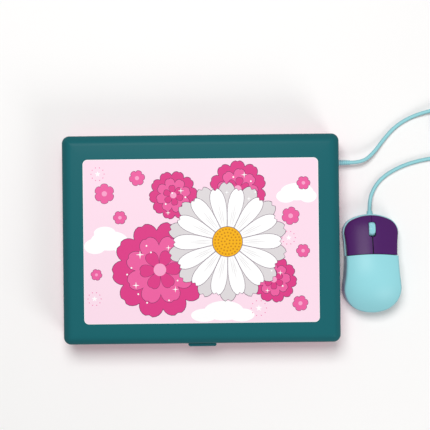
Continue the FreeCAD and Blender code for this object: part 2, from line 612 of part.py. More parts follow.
EAR = [("hinge_y", "z_deck"), ("hinge_y - 1.1 * trough", "z_deck - 0.1 * trough"),
       ("hinge_y - 0.6 * trough", "z_deck - 1.15 * trough"), ("hinge_y", "z_deck - 1.2 * trough")]
for x in EARS:
    deck.pad(circles("2 * hinge_radius", HINGE), x, "ear_length", "YZ")
    deck.pad(outline(*EAR), x, "ear_length", "YZ")
for x in ("ear_out + ear_seat", "ear_in + ear_length", "-ear_out", "-ear_in - ear_length + ear_seat"):
    deck.cut(circles("pin_dia + 2 * pin_clear / 3", HINGE), x, "ear_seat", "YZ")
deck.cut(circles("cable_dia + 2 * cable_room", HINGE), "-ear_out", "-ear_out - cable_x", "YZ")
deck.cut(circles("cable_dia + 2 * cable_room", [("cable_x", "hinge_y")]),
         "z_deck + cable_dia", "z_deck + cable_dia - z_seam")
for i, (x, count) in enumerate(ROWS):
    hole = rounded("key_width + 2 * key_clear", "key_depth + 2 * key_clear", "key_corner + key_clear",
                   x, f"keys_y - {i} * key_pitch_y")
    deck.row(deck.cut(hole, "z_deck", "plate"), "key_pitch_x", count)
KEY_ROWS = [("activity_key_1", "activity_pitch", 8), ("key_on", "power_pitch", 2),
            ("key_left", "2 * key_pitch_x", 2), ("key_enter", "", 1), ("key_up", "", 1),
            ("key_down", "", 1), ("key_space", "", 1)]
for name, pitch, count in KEY_ROWS:
    x, y, width, depth = HARD_KEYS[name]
    opening = rounded(f"{width} + 2 * key_clear", f"{depth} + 2 * key_clear", "key_corner + key_clear", x, y)
    hole = deck.cut(opening, "z_deck", "plate")
    if pitch:
        deck.row(hole, pitch, count)

# Silicone keypad: a sheet with a raised pad for every letter and number key
mat = Piece("keypad_mat")
MAT_X = "(board_half - fit_gap)"
mat.pad(rounded(f"2 * {MAT_X}", "board_rear - board_front - 2 * fit_gap", "key_corner",
                "0", "(board_rear + board_front) / 2"), "z_board", "mat_thick")
mat.cut(circles("board_boss + 2 * key_clear", BOARD_BOSSES), "z_mat", "mat_thick")
for i, (x, count) in enumerate(ROWS):
    pad = rounded("key_width", "key_depth", "key_corner", x, f"keys_y - {i} * key_pitch_y")
    mat.row(mat.pad(pad, "z_mat", "z_deck + key_proud - z_mat"), "key_pitch_x", count)

# Hard keys: each a cap through the deck with a lip that keeps it in
for name, (x, y, width, depth) in HARD_KEYS.items():
    key = Piece(name)
    key.pad(rounded(width, depth, "key_corner", x, y), "z_flange", "z_deck + key_proud - z_flange")
    key.ease("Fillet", 1, "key_edge")
    key.pad(rounded(f"{width} + 2 * key_lip", f"{depth} + 2 * key_lip", "key_corner + key_lip", x, y),
            "z_flange", "key_flange")

# Main board under the mat, with the chip's cover and the cable plug on its underside
board = Piece("main_circuit_board")
board.pad(box("-board_half", "board_half", "board_front", "board_rear"), "z_board - board_thick",
          "board_thick")
board.pad(circles("speaker_dia / 2", [("0", "keys_y - 2 * key_pitch_y")]),
          "z_board - board_thick - plate", "plate")
board.pad(box("-board_half + speaker_dia / 2", "-board_half + speaker_dia", "board_rear - 2 * board_boss",
              "board_rear - board_boss"), "z_board - board_thick - 2 * plate", "2 * plate")
board.cut(circles("small_screw + 2 * screw_clear", BOARD_BOSSES), "z_board", "board_thick")

board_screws = Piece("board_screws")
board_screws.pad(circles("small_head_dia", BOARD_BOSSES), "z_board - board_thick - small_head", "small_head")
board_screws.pad(circles("small_screw", BOARD_BOSSES), "z_board - board_thick", "board_thick + plate")

speaker = Piece("speaker_driver")
speaker.pad(circles("speaker_dia", GRILLE[:1]), "z_under - speaker_flange", "speaker_flange")
speaker.pad(circles("(speaker_dia + magnet_dia) / 2", GRILLE[:1]), "z_under - speaker_depth / 2",
            "speaker_depth / 2 - speaker_flange")
speaker.pad(circles("magnet_dia", GRILLE[:1]), "z_under - speaker_depth", "speaker_depth / 2")

# Hinge pins: stubs pressed into the ears that the lid's barrels turn on
pins = Piece("hinge_pins")
PIN_LONG = "ear_seat + hinge_gap + pin_reach"
pins.pad(circles("pin_dia", HINGE), "ear_out - hinge_gap - pin_reach", PIN_LONG, "YZ")
pins.pad(circles("pin_dia", HINGE), "ear_in + ear_length - ear_seat", PIN_LONG, "YZ")
pins.pad(circles("pin_dia", HINGE), "-(ear_in + ear_length - ear_seat) - (" + PIN_LONG + ")", PIN_LONG, "YZ")

bush = Piece("hinge_cable_bush")
bush.pad(circles("pin_dia", HINGE), "-ear_out - ear_seat", PIN_LONG, "YZ")
bush.cut(circles("cable_dia + 2 * cable_room", HINGE), "meet_x", PIN_LONG, "YZ")

# Rubber grommet in the right wall, with the tail that the cord comes out of
grommet = Piece("base_cord_grommet")
WALL_X = "case_width / 2"
grommet.pad(circles("grommet_neck", EXIT), f"{WALL_X} - wall", "wall + grommet_rim", "YZ")
grommet.pad(circles("grommet_flange", EXIT), f"{WALL_X} - wall - grommet_rim", "grommet_rim", "YZ")
grommet.pad(circles("grommet_flange", EXIT), WALL_X, "grommet_rim", "YZ")
grommet.pad(circles("grommet_tail", EXIT), f"{WALL_X} + grommet_rim", "grommet_length - grommet_rim", "YZ")

# Lid shell: a bevelled tub, open downwards, with the label's recess and the finger tab
LID_SCREWS = vary(FOUR, ("lid_boss_x", "lid_boss_y")) + vary(PAIR, ("lid_boss_x", "0"))
lid = Piece("lid_outer_shell")
lid.pad(rounded("case_width", "case_depth", "case_corner"), "z_rim", "lid_height")
lid.ease("Chamfer", 1, "lid_bevel")
INSIDE = Piece("lid_hollow")
INSIDE.pad(rounded("case_width - 2 * wall", "case_depth - 2 * wall", "case_corner - wall"),
           "z_rim - plate", "z_roof - z_rim + plate")
INSIDE.ease("Chamfer", 1, "lid_bevel - wall")
doc.recompute()
INSIDE.body.setExpression("Placement.Base.x", None)
INSIDE.body.setExpression("Placement.Base.y", None)
INSIDE.body.Placement = FreeCAD.Placement()
del parts["lid_hollow"]
hollow = lid.feature("Boolean")
hollow.Type = "Cut"
hollow.addObjects([INSIDE.body])
lid.body.Tip = hollow
lid.pad(circles("boss_dia", LID_SCREWS), "z_bezel_back", "z_roof - z_bezel_back + plate / 4")
lid.cut(circles("screw_dia + 2 * pilot_clear", LID_SCREWS), "z_roof - plate / 4",
        "z_roof - plate / 4 - z_bezel_back")
lid.cut(rounded("label_width + 2 * fit_gap", "label_depth + 2 * fit_gap", "label_corner + fit_gap",
                "0", "label_shift"), "z_top", "label_thick + label_sunk")
lid.pad(rounded("tab_width", "tab_proud + wall", "tab_corner", "0", "(wall - tab_proud - case_depth) / 2"),
        "z_rim + tab_lift", "tab_thick")
NOTCH = "2 * (trough + hinge_gap)"
for x in ("ear_out + ear_length + hinge_gap", "-ear_in + hinge_gap"):
    lid.cut(circles(f"{NOTCH} + 2 * hinge_gap", HINGE), x,
            "ear_out + ear_length - ear_in + 2 * hinge_gap", "YZ")

label = Piece("lid_label")
label.pad(rounded("label_width", "label_depth", "label_corner", "0", "label_shift"),
          "z_top - label_sunk - label_thick", "label_thick")

# Lid frame: the plate behind the screen, with the hinge barrels along its rear edge
INNER_W = "case_width - 2 * wall - 2 * fit_gap"
INNER_D = "case_depth - 2 * wall - 2 * fit_gap"
POSTS = [(x, f"{y} - window_y") for x, y in vary(FOUR, ("post_x", "post_y"))]
bezel = Piece("lid_inner_bezel")
bezel.pad(rounded(INNER_W, INNER_D, "case_corner - wall - fit_gap"), "z_bezel", "bezel_thick")
bezel.pad(circles("board_boss", POSTS), "z_bezel_back", "lcd_thick")
for x in ("barrel_x", "-barrel_x"):
    bezel.pad(circles("2 * hinge_radius", HINGE), f"{x} - barrel_length / 2", "barrel_length", "YZ")
    bezel.pad(box("hinge_y - hinge_radius", "case_depth / 2 - wall - fit_gap", "z_deck", "z_bezel_back"),
              f"{x} - barrel_length / 2", "barrel_length", "YZ")
for x in ("barrel_x", "-barrel_x"):
    bezel.cut(circles("pin_dia + 2 * pin_clear", HINGE), f"{x} + barrel_length / 2", "barrel_length", "YZ")
for x in ("ear_out + ear_length + hinge_gap", "ear_in + ear_length + hinge_gap", "-ear_out + hinge_gap",
          "-ear_in + hinge_gap"):
    bezel.cut(circles(NOTCH, HINGE), x, "ear_length + 2 * hinge_gap", "YZ")
bezel.cut(rounded("window_width", "window_depth", "window_corner", "0", "-window_y"), "z_bezel_back",
          "bezel_thick")
bezel.cut(rounded(f"{INNER_W} - 2 * surround_border", f"{INNER_D} - 2 * surround_border", "surround_corner"),
          "z_bezel + surround_thick", "surround_thick")
bezel.cut(circles("screw_dia + 2 * screw_clear", LID_SCREWS), "z_bezel_back", "bezel_thick")
bezel.cut(circles("small_screw + 2 * pilot_clear", POSTS), "z_lcd", "lcd_thick - plate / 4")
bezel.cut(circles("cable_dia + 2 * cable_room", [("meet_x + cable_bend", "hinge_y")]),
          "z_bezel_back", "z_bezel_back - z_deck")

surround = Piece("screen_surround")
surround.pad(rounded(f"{INNER_W} - 2 * (surround_border + fit_gap)",
                     f"{INNER_D} - 2 * (surround_border + fit_gap)", "surround_corner - fit_gap"),
             "z_bezel", "surround_thick")
surround.cut(rounded("window_width", "window_depth", "window_corner", "0", "-window_y"),
             "z_bezel + surround_thick", "surround_thick")

window = Piece("lcd_window")
window.pad(rounded("window_width - 2 * fit_gap", "window_depth - 2 * fit_gap", "window_corner - fit_gap",
                   "0", "-window_y"), "z_bezel_back - window_thick", "window_thick")

panel = Piece("lcd_panel")
panel.pad(box("-lcd_width / 2", "lcd_width / 2", "-lcd_depth / 2 - window_y", "lcd_depth / 2 - window_y"),
          "z_bezel_back", "lcd_thick")

display = Piece("display_board")
display.pad(box("-lcd_width / 2 - display_rim", "lcd_width / 2 + display_rim",
                "-lcd_depth / 2 - display_rim - window_y", "lcd_depth / 2 + display_rim - window_y"),
            "z_lcd", "board_thick")
display.cut(circles("small_screw + 2 * screw_clear", POSTS), "z_lcd + board_thick", "board_thick")

display_screws = Piece("display_screws")
display_screws.pad(circles("small_head_dia", POSTS), "z_lcd + board_thick", "small_head")
display_screws.pad(circles("small_screw", POSTS), "z_lcd - lcd_thick / 2", "board_thick + lcd_thick / 2")

lid_screws = Piece("lid_screws")
lid_screws.pad(circles("screw_head_dia", LID_SCREWS), "z_bezel - screw_head / 2", "screw_head / 2")
lid_screws.pad(circles("screw_dia", LID_SCREWS), "z_bezel", "bezel_thick + screw_bite")


def solid(label, shape, home):
    """A sub-part whose form is worked out here."""
    thing = doc.addObject("Part::Feature", label)
    thing.Shape = shape
    settle(thing, label, home)
    return thing


def tube(points, bends, radius):
    """A round tube along straight runs joined by tangent arcs; bends has the radius at each inner point."""
    edges = []
    start = points[0]
    for before, corner, after, bend in zip(points, points[1:], points[2:], bends):
        into = (corner - before).normalize()
        out = (after - corner).normalize()
        half = into.getAngle(out) / 2
        reach = bend * math.tan(half)
        a, b = corner - into * reach, corner + out * reach
        middle = corner + (out - into).normalize() * (bend / math.cos(half) - bend)
        if (a - start).Length > 0.001:
            edges.append(Part.LineSegment(start, a).toShape())
        edges.append(Part.Arc(a, middle, b).toShape())
        start = b
    edges.append(Part.LineSegment(start, points[-1]).toShape())
    path = Part.Wire(edges)
    ring = Part.Wire(Part.Circle(points[0], points[1] - points[0], radius).toShape())
    made = path.makePipeShell([ring], True, False)
    return made, path.Length


# Display cable: the base's half comes up inside the left ear, the lid's half goes on along the hinge axis
CABLE_R = size("cable_dia") / 2
HINGE_Y, DECK_Z, MEET_X = size("hinge_y"), size("z_deck"), size("meet_x")
CABLE_X = size("cable_x")
below = [V(CABLE_X, HINGE_Y, size("z_seam")), V(CABLE_X, HINGE_Y, DECK_Z), V(MEET_X, HINGE_Y, DECK_Z)]
solid("display_cable_base", tube(below, [size("cable_bend")], CABLE_R)[0], "laptop")
RISE_X = size("meet_x + cable_bend")
CABLE_Z = size("z_lcd + board_thick + cable_dia / 2")
above = [V(MEET_X, HINGE_Y, DECK_Z), V(RISE_X, HINGE_Y, DECK_Z), V(RISE_X, HINGE_Y, CABLE_Z),
         V(RISE_X, size("lcd_depth / 2 - window_y"), CABLE_Z)]
solid("display_cable_lid", tube(above, [size("cable_bend") * 0.9, size("cable_bend")], CABLE_R)[0], "laptop")


# Mouse housing: a waisted plan, and a crowned top that rises to the palm
def mouse_plan(inset, z0, z1):
    """The plan drawn in by an inset, as an upright prism. Every arc keeps its centre."""
    half = size("mouse_length") / 2
    nose, head = size("nose_radius"), size("head_radius")
    tail, rump, waist = size("tail_radius"), size("rump_radius"), size("waist_radius")
    nose_at = V(0, half - nose, 0)
    tail_at = V(0, tail - half, 0)
    head_x, rump_x = size("mouse_head") - head, size("mouse_tail") - rump
    head_at = V(head_x, nose_at.y + math.sqrt((nose - head) ** 2 - head_x ** 2), 0)
    rump_at = V(rump_x, tail_at.y - math.sqrt((tail - rump) ** 2 - rump_x ** 2), 0)
    span = rump_at - head_at
    far, near = waist + rump, waist + head
    along = (near ** 2 - far ** 2 + span.Length ** 2) / (2 * span.Length)
    aside = math.sqrt(near ** 2 - along ** 2)
    step = V(span).normalize()
    waist_at = head_at + step * along + V(-step.y, step.x, 0) * aside
    nose_out = (head_at - nose_at).normalize()
    tail_out = (rump_at - tail_at).normalize()
    head_out = (waist_at - head_at).normalize()
    rump_out = (waist_at - rump_at).normalize()

    def arc(centre, radius, a, b):
        middle = (a + b).normalize()
        return [centre + v * radius for v in (a, middle, b)]

    right = [arc(head_at, head - inset, nose_out, head_out),
             arc(waist_at, waist + inset, -head_out, -rump_out),
             arc(rump_at, rump - inset, rump_out, tail_out)]
    flip = [[V(-p.x, p.y, 0) for p in reversed(run)] for run in reversed(right)]
    front = arc(nose_at, nose - inset, V(-nose_out.x, nose_out.y, 0), nose_out)
    back = arc(tail_at, tail - inset, tail_out, V(-tail_out.x, tail_out.y, 0))
    runs = [front] + right + [back] + flip
    wire = Part.Wire([Part.Arc(*run).toShape() for run in runs])
    return Part.Face(wire).extrude(V(0, 0, z1 - z0)).translated(V(0, 0, z0))


def mouse_dome(drop):
    """Everything under the mouse's top surface, lowered by a drop, wider than the plan."""
    end = size("mouse_length / 2 + mouse_wall")
    stations = [(end, "nose_top"), (size("wheel_y"), "wheel_top"), (size("seam_y"), "seam_top"),
                (-size("crest_back"), "crest_top"), (-size("rear_back"), "rear_top"), (-end, "tail_top")]
    wide = size("max(mouse_head; mouse_tail) + 2 * mouse_wall")
    rings = []
    for y, top in stations:
        height = size(top) - drop
        side = height - size("crown_drop")
        a, b = V(-wide, y, side), V(wide, y, side)
        crown = Part.Arc(a, V(0, y, height), b).toShape()
        feet = [V(wide, y, -side), V(-wide, y, -side)]
        rest = [Part.LineSegment(p, q).toShape() for p, q in zip([b] + feet, feet + [a])]
        rings.append(Part.Wire([crown] + rest))
    return Part.makeLoft(rings, True, False)


def shoulders(block, level):
    """Rounds the edge between the crowned top and the sides."""
    reach = size("shoulder")
    above = level + reach / 4
    rim = [e for e in block.Edges if min(v.Point.z for v in e.Vertexes) > above and e.Length > reach]
    return block.makeFillet(reach, rim)


M_WALL, SPLIT, HIGH = size("mouse_wall"), size("mouse_split"), 2 * size("crest_top")
SEAM_R = (size("mouse_tail") ** 2 + size("seam_rise") ** 2) / (2 * size("seam_rise"))
SEAM_AT = V(0, size("seam_y") + size("seam_rise") - SEAM_R, 0)


def seam_disc(grow):
    return Part.makeCylinder(SEAM_R + grow, HIGH, SEAM_AT)


def upright(diameter, x, y, z0, z1):
    return Part.makeCylinder(diameter / 2, z1 - z0, V(x, y, z0))


MOUSE_SCREWS = [(s * size("mouse_screw_x"), size("mouse_screw_y")) for s in (1, -1)]
PILOT = size("screw_dia + 2 * pilot_clear")
outer = shoulders(mouse_plan(0, SPLIT, HIGH).common(mouse_dome(0)), SPLIT)
inner = mouse_plan(M_WALL, 0, HIGH).common(mouse_dome(M_WALL))
palm = outer.cut(inner)
for x, y in MOUSE_SCREWS:
    post = upright(size("boss_dia"), x, y, SPLIT, HIGH).common(mouse_dome(M_WALL / 2))
    palm = palm.fuse(post).cut(upright(PILOT, x, y, SPLIT, SPLIT + size("screw_bite + plate")))
solid("mouse_palm_cover", palm.common(seam_disc(-size("seam_gap") / 2)), "mouse")

BUTTON_Z = SPLIT + size("click_gap")
DROP = size("button_drop")
INSET = size("button_inset")
caps = shoulders(mouse_plan(INSET, BUTTON_Z, HIGH).common(mouse_dome(DROP)), BUTTON_Z)
caps = caps.cut(mouse_plan(INSET + M_WALL, 0, HIGH).common(mouse_dome(DROP + M_WALL)))
caps = caps.cut(seam_disc(size("seam_gap") / 2))
SLOT_W = size("wheel_width + 2 * wheel_clear")
WHEEL_Y, WHEEL_Z, WHEEL_R = size("wheel_y"), size("wheel_z"), size("wheel_dia") / 2
SLOT_L = size("wheel_dia + 2 * wheel_clear")
slot = Part.makeBox(SLOT_W, SLOT_L, HIGH, V(-SLOT_W / 2, WHEEL_Y - SLOT_L / 2, 0))
slot = slot.makeFillet(size("slot_corner"), [e for e in slot.Edges if abs(e.tangentAt(0).z) > 0.9])
caps = caps.cut(slot)
SWITCH_TOP = size("z_chip + board_thick + switch_height + nub_proud")
CLICK_X, CLICK_Y, CLICK_Z = size("click_x"), size("click_y"), size("click_z")
CLICK_PIN, ARM = size("click_pin"), size("click_arm")
REACH, SLIT, SLIT_FRONT = size("mouse_length"), size("slit"), size("slit_front")
ARM_LONG = size("click_pin + 2 * click_edge")
under_cap = mouse_dome(DROP + M_WALL / 2)
for label, sign in (("mouse_left_button", -1), ("mouse_right_button", 1)):
    half = Part.makeBox(REACH, 2 * REACH, HIGH, V(SLIT / 2 if sign > 0 else -REACH - SLIT / 2, -REACH, 0))
    near = V(SLIT_FRONT / 2 if sign > 0 else -REACH - SLIT_FRONT / 2, WHEEL_Y, 0)
    half = half.fuse(Part.makeBox(REACH, REACH, HIGH, near)).removeSplitter()
    x, y = sign * size("switch_x"), size("switch_y")
    post = upright(size("switch_nub"), x, y, SWITCH_TOP + size("switch_gap"), HIGH).common(under_cap)
    arm_x = sign * CLICK_X - (ARM if sign < 0 else 0)
    arm = Part.makeBox(ARM, ARM_LONG, HIGH, V(arm_x, CLICK_Y - ARM_LONG / 2, CLICK_Z - CLICK_PIN / 2))
    pin_at = V(sign * (CLICK_X + ARM), CLICK_Y, CLICK_Z)
    pin = Part.makeCylinder(CLICK_PIN / 2, 2 * ARM, pin_at, V(sign, 0, 0))
    arm = arm.common(under_cap).fuse(pin)
    solid(label, caps.common(half).fuse(post).fuse(arm).removeSplitter(), "mouse")

# Lower shell: floor, axle ribs, board posts, screw towers, sensor hole and the cord's hole
GLIDE, FLOOR = size("glide_proud"), size("z_mouse")
AXLE = size("axle_dia + 2 * axle_clear")
RIB = size("rib_thick")
ROOT = size("rib_root")
RIB_X = SLOT_W / 2 + size("rib_gap")
lower = mouse_plan(0, GLIDE, SPLIT).cut(mouse_plan(M_WALL, FLOOR, HIGH))
for sign in (1, -1):
    x0 = RIB_X if sign > 0 else -RIB_X - RIB
    rib = Part.makeBox(RIB, 2 * size("axle_dia"), WHEEL_Z + size("axle_clear") - FLOOR + ROOT,
                       V(x0, WHEEL_Y - size("axle_dia"), FLOOR - ROOT))
    notch = Part.makeCylinder(AXLE / 2, RIB, V(x0, WHEEL_Y, WHEEL_Z), V(1, 0, 0))
    mouth = Part.makeBox(RIB, AXLE, AXLE, V(x0, WHEEL_Y - AXLE / 2, WHEEL_Z))
    lower = lower.fuse(rib.cut(notch).cut(mouth))
BEARINGS = []
for sign in (1, -1):
    x0 = sign * (CLICK_X + ARM + size("click_side")) - (ARM if sign < 0 else 0)
    foot = V(x0, CLICK_Y - CLICK_PIN, FLOOR - ROOT)
    BEARINGS.append(Part.makeBox(ARM, 2 * CLICK_PIN, CLICK_Z + CLICK_PIN - foot.z, foot))
    hole = Part.makeCylinder(CLICK_PIN / 2 + size("axle_clear"), ARM, V(x0, CLICK_Y, CLICK_Z), V(1, 0, 0))
    lower = lower.fuse(BEARINGS[-1].cut(hole))
BOARD_Y0, BOARD_Y1, BOARD_X = -size("chip_rear"), WHEEL_Y - WHEEL_R - RIB, size("chip_half")
CHIP_Z = size("z_chip")
for x, y in MOUSE_SCREWS:
    lower = lower.fuse(upright(size("boss_dia + 2 * screw_clear"), x, y, FLOOR - ROOT, SPLIT))
for sign in (1, -1):
    for y in (size("switch_y"), -size("chip_post_y")):
        lower = lower.fuse(upright(size("board_boss"), sign * size("switch_x"), y, FLOOR - ROOT, CHIP_Z))
HEAD_Z = size("glide_proud + screw_head + mouse_screw_sunk")
for x, y in MOUSE_SCREWS:
    lower = lower.cut(upright(size("screw_head_dia + 2 * screw_clear"), x, y, 0, HEAD_Z))
    lower = lower.cut(upright(size("screw_dia + 2 * screw_clear"), x, y, 0, SPLIT))
FIT = size("fit_gap")


def block(width, length, y, z0, z1):
    """An upright box on the mouse's centre line."""
    return Part.makeBox(width, length, z1 - z0, V(-width / 2, y - length / 2, z0))


LENS_SPOT = size("lens_width"), size("lens_length"), size("lens_y")
lens_hole = block(*LENS_SPOT, 0, HIGH)
lower = lower.cut(lens_hole)
PAD_TOP = GLIDE + size("glide_seat")
PAD_SPOTS = [size("glide_front"), -size("glide_rear")]
for y in PAD_SPOTS:
    lower = lower.cut(block(size("glide_long"), size("glide_wide"), y, 0, PAD_TOP))
RELIEF_Z, NOSE_Y = size("relief_z"), size("mouse_length") / 2
BORE_AT = V(0, NOSE_Y - 2 * M_WALL, RELIEF_Z)
bore = Part.makeCylinder(size("relief_dia") / 2 + FIT, 3 * M_WALL, BORE_AT, V(0, 1, 0))
lower = lower.cut(bore)
solid("mouse_bottom_shell", lower.removeSplitter(), "mouse")

pads = [block(size("glide_long") - 2 * FIT, size("glide_wide") - 2 * FIT, y, 0, PAD_TOP) for y in PAD_SPOTS]
solid("mouse_glide_pads", Part.makeCompound(pads), "mouse")

fasteners = []
for x, y in MOUSE_SCREWS:
    head = upright(size("screw_head_dia"), x, y, HEAD_Z - size("screw_head"), HEAD_Z)
    fasteners.append(head.fuse(upright(size("screw_dia"), x, y, HEAD_Z, SPLIT + size("screw_bite"))))
solid("mouse_screws", Part.makeCompound(fasteners), "mouse")

chip = Part.makeBox(2 * BOARD_X, BOARD_Y1 - BOARD_Y0, size("board_thick"), V(-BOARD_X, BOARD_Y0, CHIP_Z))
chip = chip.cut(lens_hole)
for bearing in BEARINGS:
    chip = chip.cut(bearing.makeOffsetShape(2 * FIT, 0.01, join=2))
for x, y in MOUSE_SCREWS:
    chip = chip.cut(upright(size("boss_dia + 2 * screw_clear + 4 * fit_gap"), x, y, 0, HIGH))
solid("mouse_circuit_board", chip, "mouse")

SWITCH_Z = CHIP_Z + size("board_thick")
SIDE = size("switch_side")
switches = []
for sign in (1, -1):
    x, y = sign * size("switch_x"), size("switch_y")
    case = Part.makeBox(SIDE, SIDE, size("switch_height"), V(x - SIDE / 2, y - SIDE / 2, SWITCH_Z))
    switches.append(case.fuse(upright(size("switch_nub"), x, y, SWITCH_Z, SWITCH_TOP)))
solid("mouse_click_switches", Part.makeCompound(switches), "mouse")

lens_width, lens_length, lens_y = LENS_SPOT
lens = block(lens_width - 2 * FIT, lens_length - 2 * FIT, lens_y, 2 * GLIDE, SPLIT)
solid("mouse_sensor_lens", lens, "mouse")

# Wheel with its axle, turned in one piece
wheel = Piece("mouse_wheel", "mouse")
AXLE_END = "(wheel_width / 2 + wheel_clear + rib_gap + rib_thick + axle_over)"
TREAD = "wheel_dia / 2 - wheel_width / 4"
wheel.body.setExpression("Placement.Base.y", formula("mouse_y + wheel_y"))
wheel.body.setExpression("Placement.Base.z", formula("wheel_z"))
wheel.revolve(outline((f"-{AXLE_END}", "0"), (AXLE_END, "0"), (AXLE_END, "axle_dia / 2"),
                      ("wheel_width / 2", "axle_dia / 2"), ("wheel_width / 2", TREAD),
                      ("wheel_width / 4", "wheel_dia / 2"), ("-wheel_width / 4", "wheel_dia / 2"),
                      ("-wheel_width / 2", TREAD), ("-wheel_width / 2", "axle_dia / 2"),
                      (f"-{AXLE_END}", "axle_dia / 2")), "0", "XY")

# Cord relief in the mouse's nose
RELIEF_R = size("relief_dia") / 2
RELIEF_LONG = size("mouse_wall + relief_proud + rib_root")
relief = Part.makeCylinder(RELIEF_R, RELIEF_LONG, V(0, NOSE_Y - M_WALL - ROOT, RELIEF_Z), V(0, 1, 0))
solid("mouse_cord_relief", relief, "mouse")

# Mouse cord: a lead from the nose, a tied coil of the spare length, and a tail to the base
CORD_R = size("cord_dia") / 2
MOUSE_X, MOUSE_Y = size("mouse_x"), size("mouse_y")
LAP_X, LAP_Y = size("laptop_x"), size("laptop_y")
LIE = CORD_R + size("cord_lie")
COIL_X = LAP_X + size("case_width / 2 + coil_x")
COIL_Y = LAP_Y + size("grommet_y + coil_y")
COIL_OUT, COIL_STEP, COIL_TURNS = size("coil_out"), size("coil_step"), size("coil_turns")
COIL_Z = CORD_R + size("coil_lift")
LAYER = size("coil_layer")


def coil_point(turn):
    """The coil's centre line: in for half its turns, over, and out again a layer higher."""
    middle = COIL_TURNS / 2
    radius = COIL_OUT - COIL_STEP * (middle - abs(turn - middle))
    climb = min(max((turn - middle) / 0.5 + 0.5, 0), 1)
    angle = 2 * math.pi * turn - math.pi / 2
    height = COIL_Z + LAYER * climb * climb * (3 - 2 * climb)
    return V(COIL_X + radius * math.cos(angle), COIL_Y + radius * math.sin(angle), height)


def coil_way(turn):
    step = 0.0005
    return (coil_point(turn + step) - coil_point(turn - step)).normalize()


def biarc(p, q, a, b):
    """Two arcs that leave p along a and arrive at q along b."""
    span, both = q - p, a + b
    lack = 2 * (1 - a.dot(b))
    reach = (math.sqrt(span.dot(both) ** 2 + lack * span.dot(span)) - span.dot(both)) / lack
    middle = (p + q + (a - b) * reach) / 2
    edges = []
    for start, end, bend in ((p, middle, p + a * reach), (middle, q, q - b * reach)):
        chord = (start + end) / 2
        rise = bend - chord
        half = math.atan2(rise.Length, (end - start).Length / 2)
        top = chord + rise.normalize() * ((end - start).Length / 2 * math.tan(half / 2))
        edges.append(Part.Arc(start, top, end).toShape())
    return edges


STEPS = int(COIL_TURNS * 4)
turns = [COIL_TURNS * i / STEPS for i in range(STEPS + 1)]
COIL_IN, COIL_END = coil_point(0), coil_point(COIL_TURNS)
WAY_IN, WAY_END = coil_way(0.001), coil_way(COIL_TURNS - 0.001)
ways = [WAY_IN] + [coil_way(t) for t in turns[1:-1]] + [WAY_END]
spine = [Part.LineSegment(COIL_IN - WAY_IN * size("cord_dia"), COIL_IN).toShape()]
for i in range(STEPS):
    spine += biarc(coil_point(turns[i]), coil_point(turns[i + 1]), ways[i], ways[i + 1])
spine.append(Part.LineSegment(COIL_END, COIL_END + WAY_END * size("cord_dia")).toShape())
coil_path = Part.Wire(spine)
ring = Part.Wire(Part.Circle(COIL_IN - WAY_IN * size("cord_dia"), WAY_IN, CORD_R).toShape())
solid("mouse_cord_coil", coil_path.makePipeShell([ring], True, False), "table")

SAMPLES, NEXT_TURN = 700, 60
samples = [coil_point(COIL_TURNS * i / SAMPLES) for i in range(SAMPLES + 1)]
apart = min((a - b).Length for i, a in enumerate(samples) for b in samples[i + NEXT_TURN:])
print(f"coil: {coil_path.Length:.0f} mm long, least gap to itself {apart - 2 * CORD_R:.2f} mm")

LEAD_START = V(MOUSE_X, MOUSE_Y + NOSE_Y + size("relief_proud"), RELIEF_Z)
LEAD_END = COIL_IN - WAY_IN * size("cord_dia")
TAIL_START = COIL_END + WAY_END * size("cord_dia")
TAIL_END = V(LAP_X + size("case_width / 2 + grommet_length"), LAP_Y + size("grommet_y"), size("grommet_z"))
# Where the free stretches lie between their ends, in fractions of the way along X and along Y, and the height
LEAD_WAY = [(0.0, 0.17, RELIEF_Z), (0.035, 0.36, LIE + 1.0), (0.12, 0.57, LIE), (0.25, 0.73, LIE),
            (0.42, 0.86, LIE), (0.6, 0.94, LIE), (0.77, 0.985, LIE + 0.3)]
TAIL_WAY = [(0.14, 0.005, COIL_Z + LAYER - 1.2), (0.29, 0.06, LIE + 1.4), (0.44, 0.17, LIE),
            (0.57, 0.34, LIE), (0.67, 0.56, LIE + 0.6), (0.775, 0.83, LIE + 3.4), (0.885, 1.0, TAIL_END.z)]


def between(start, end, way):
    step = end - start
    return [start] + [V(start.x + fx * step.x, start.y + fy * step.y, z) for fx, fy, z in way] + [end]


def cord(label, points):
    """One free stretch of cord on the table, with arcs as large as its runs allow."""
    bends = []
    for a, b, c in zip(points, points[1:], points[2:]):
        turn = (b - a).getAngle(c - b)
        bends.append(0.45 * min((b - a).Length, (c - b).Length) / math.tan(turn / 2))
    made, length = tube(points, bends, CORD_R)
    print(f"{label}: {length:.0f} mm, radii", " ".join(f"{r:.0f}" for r in bends),
          f"volume over section times length {made.Volume / (math.pi * CORD_R ** 2 * length):.4f}")
    solid(label, made, "table")


cord("mouse_cord_lead", between(LEAD_START, LEAD_END, LEAD_WAY))
cord("mouse_cord_tail", between(TAIL_START, TAIL_END, TAIL_WAY))

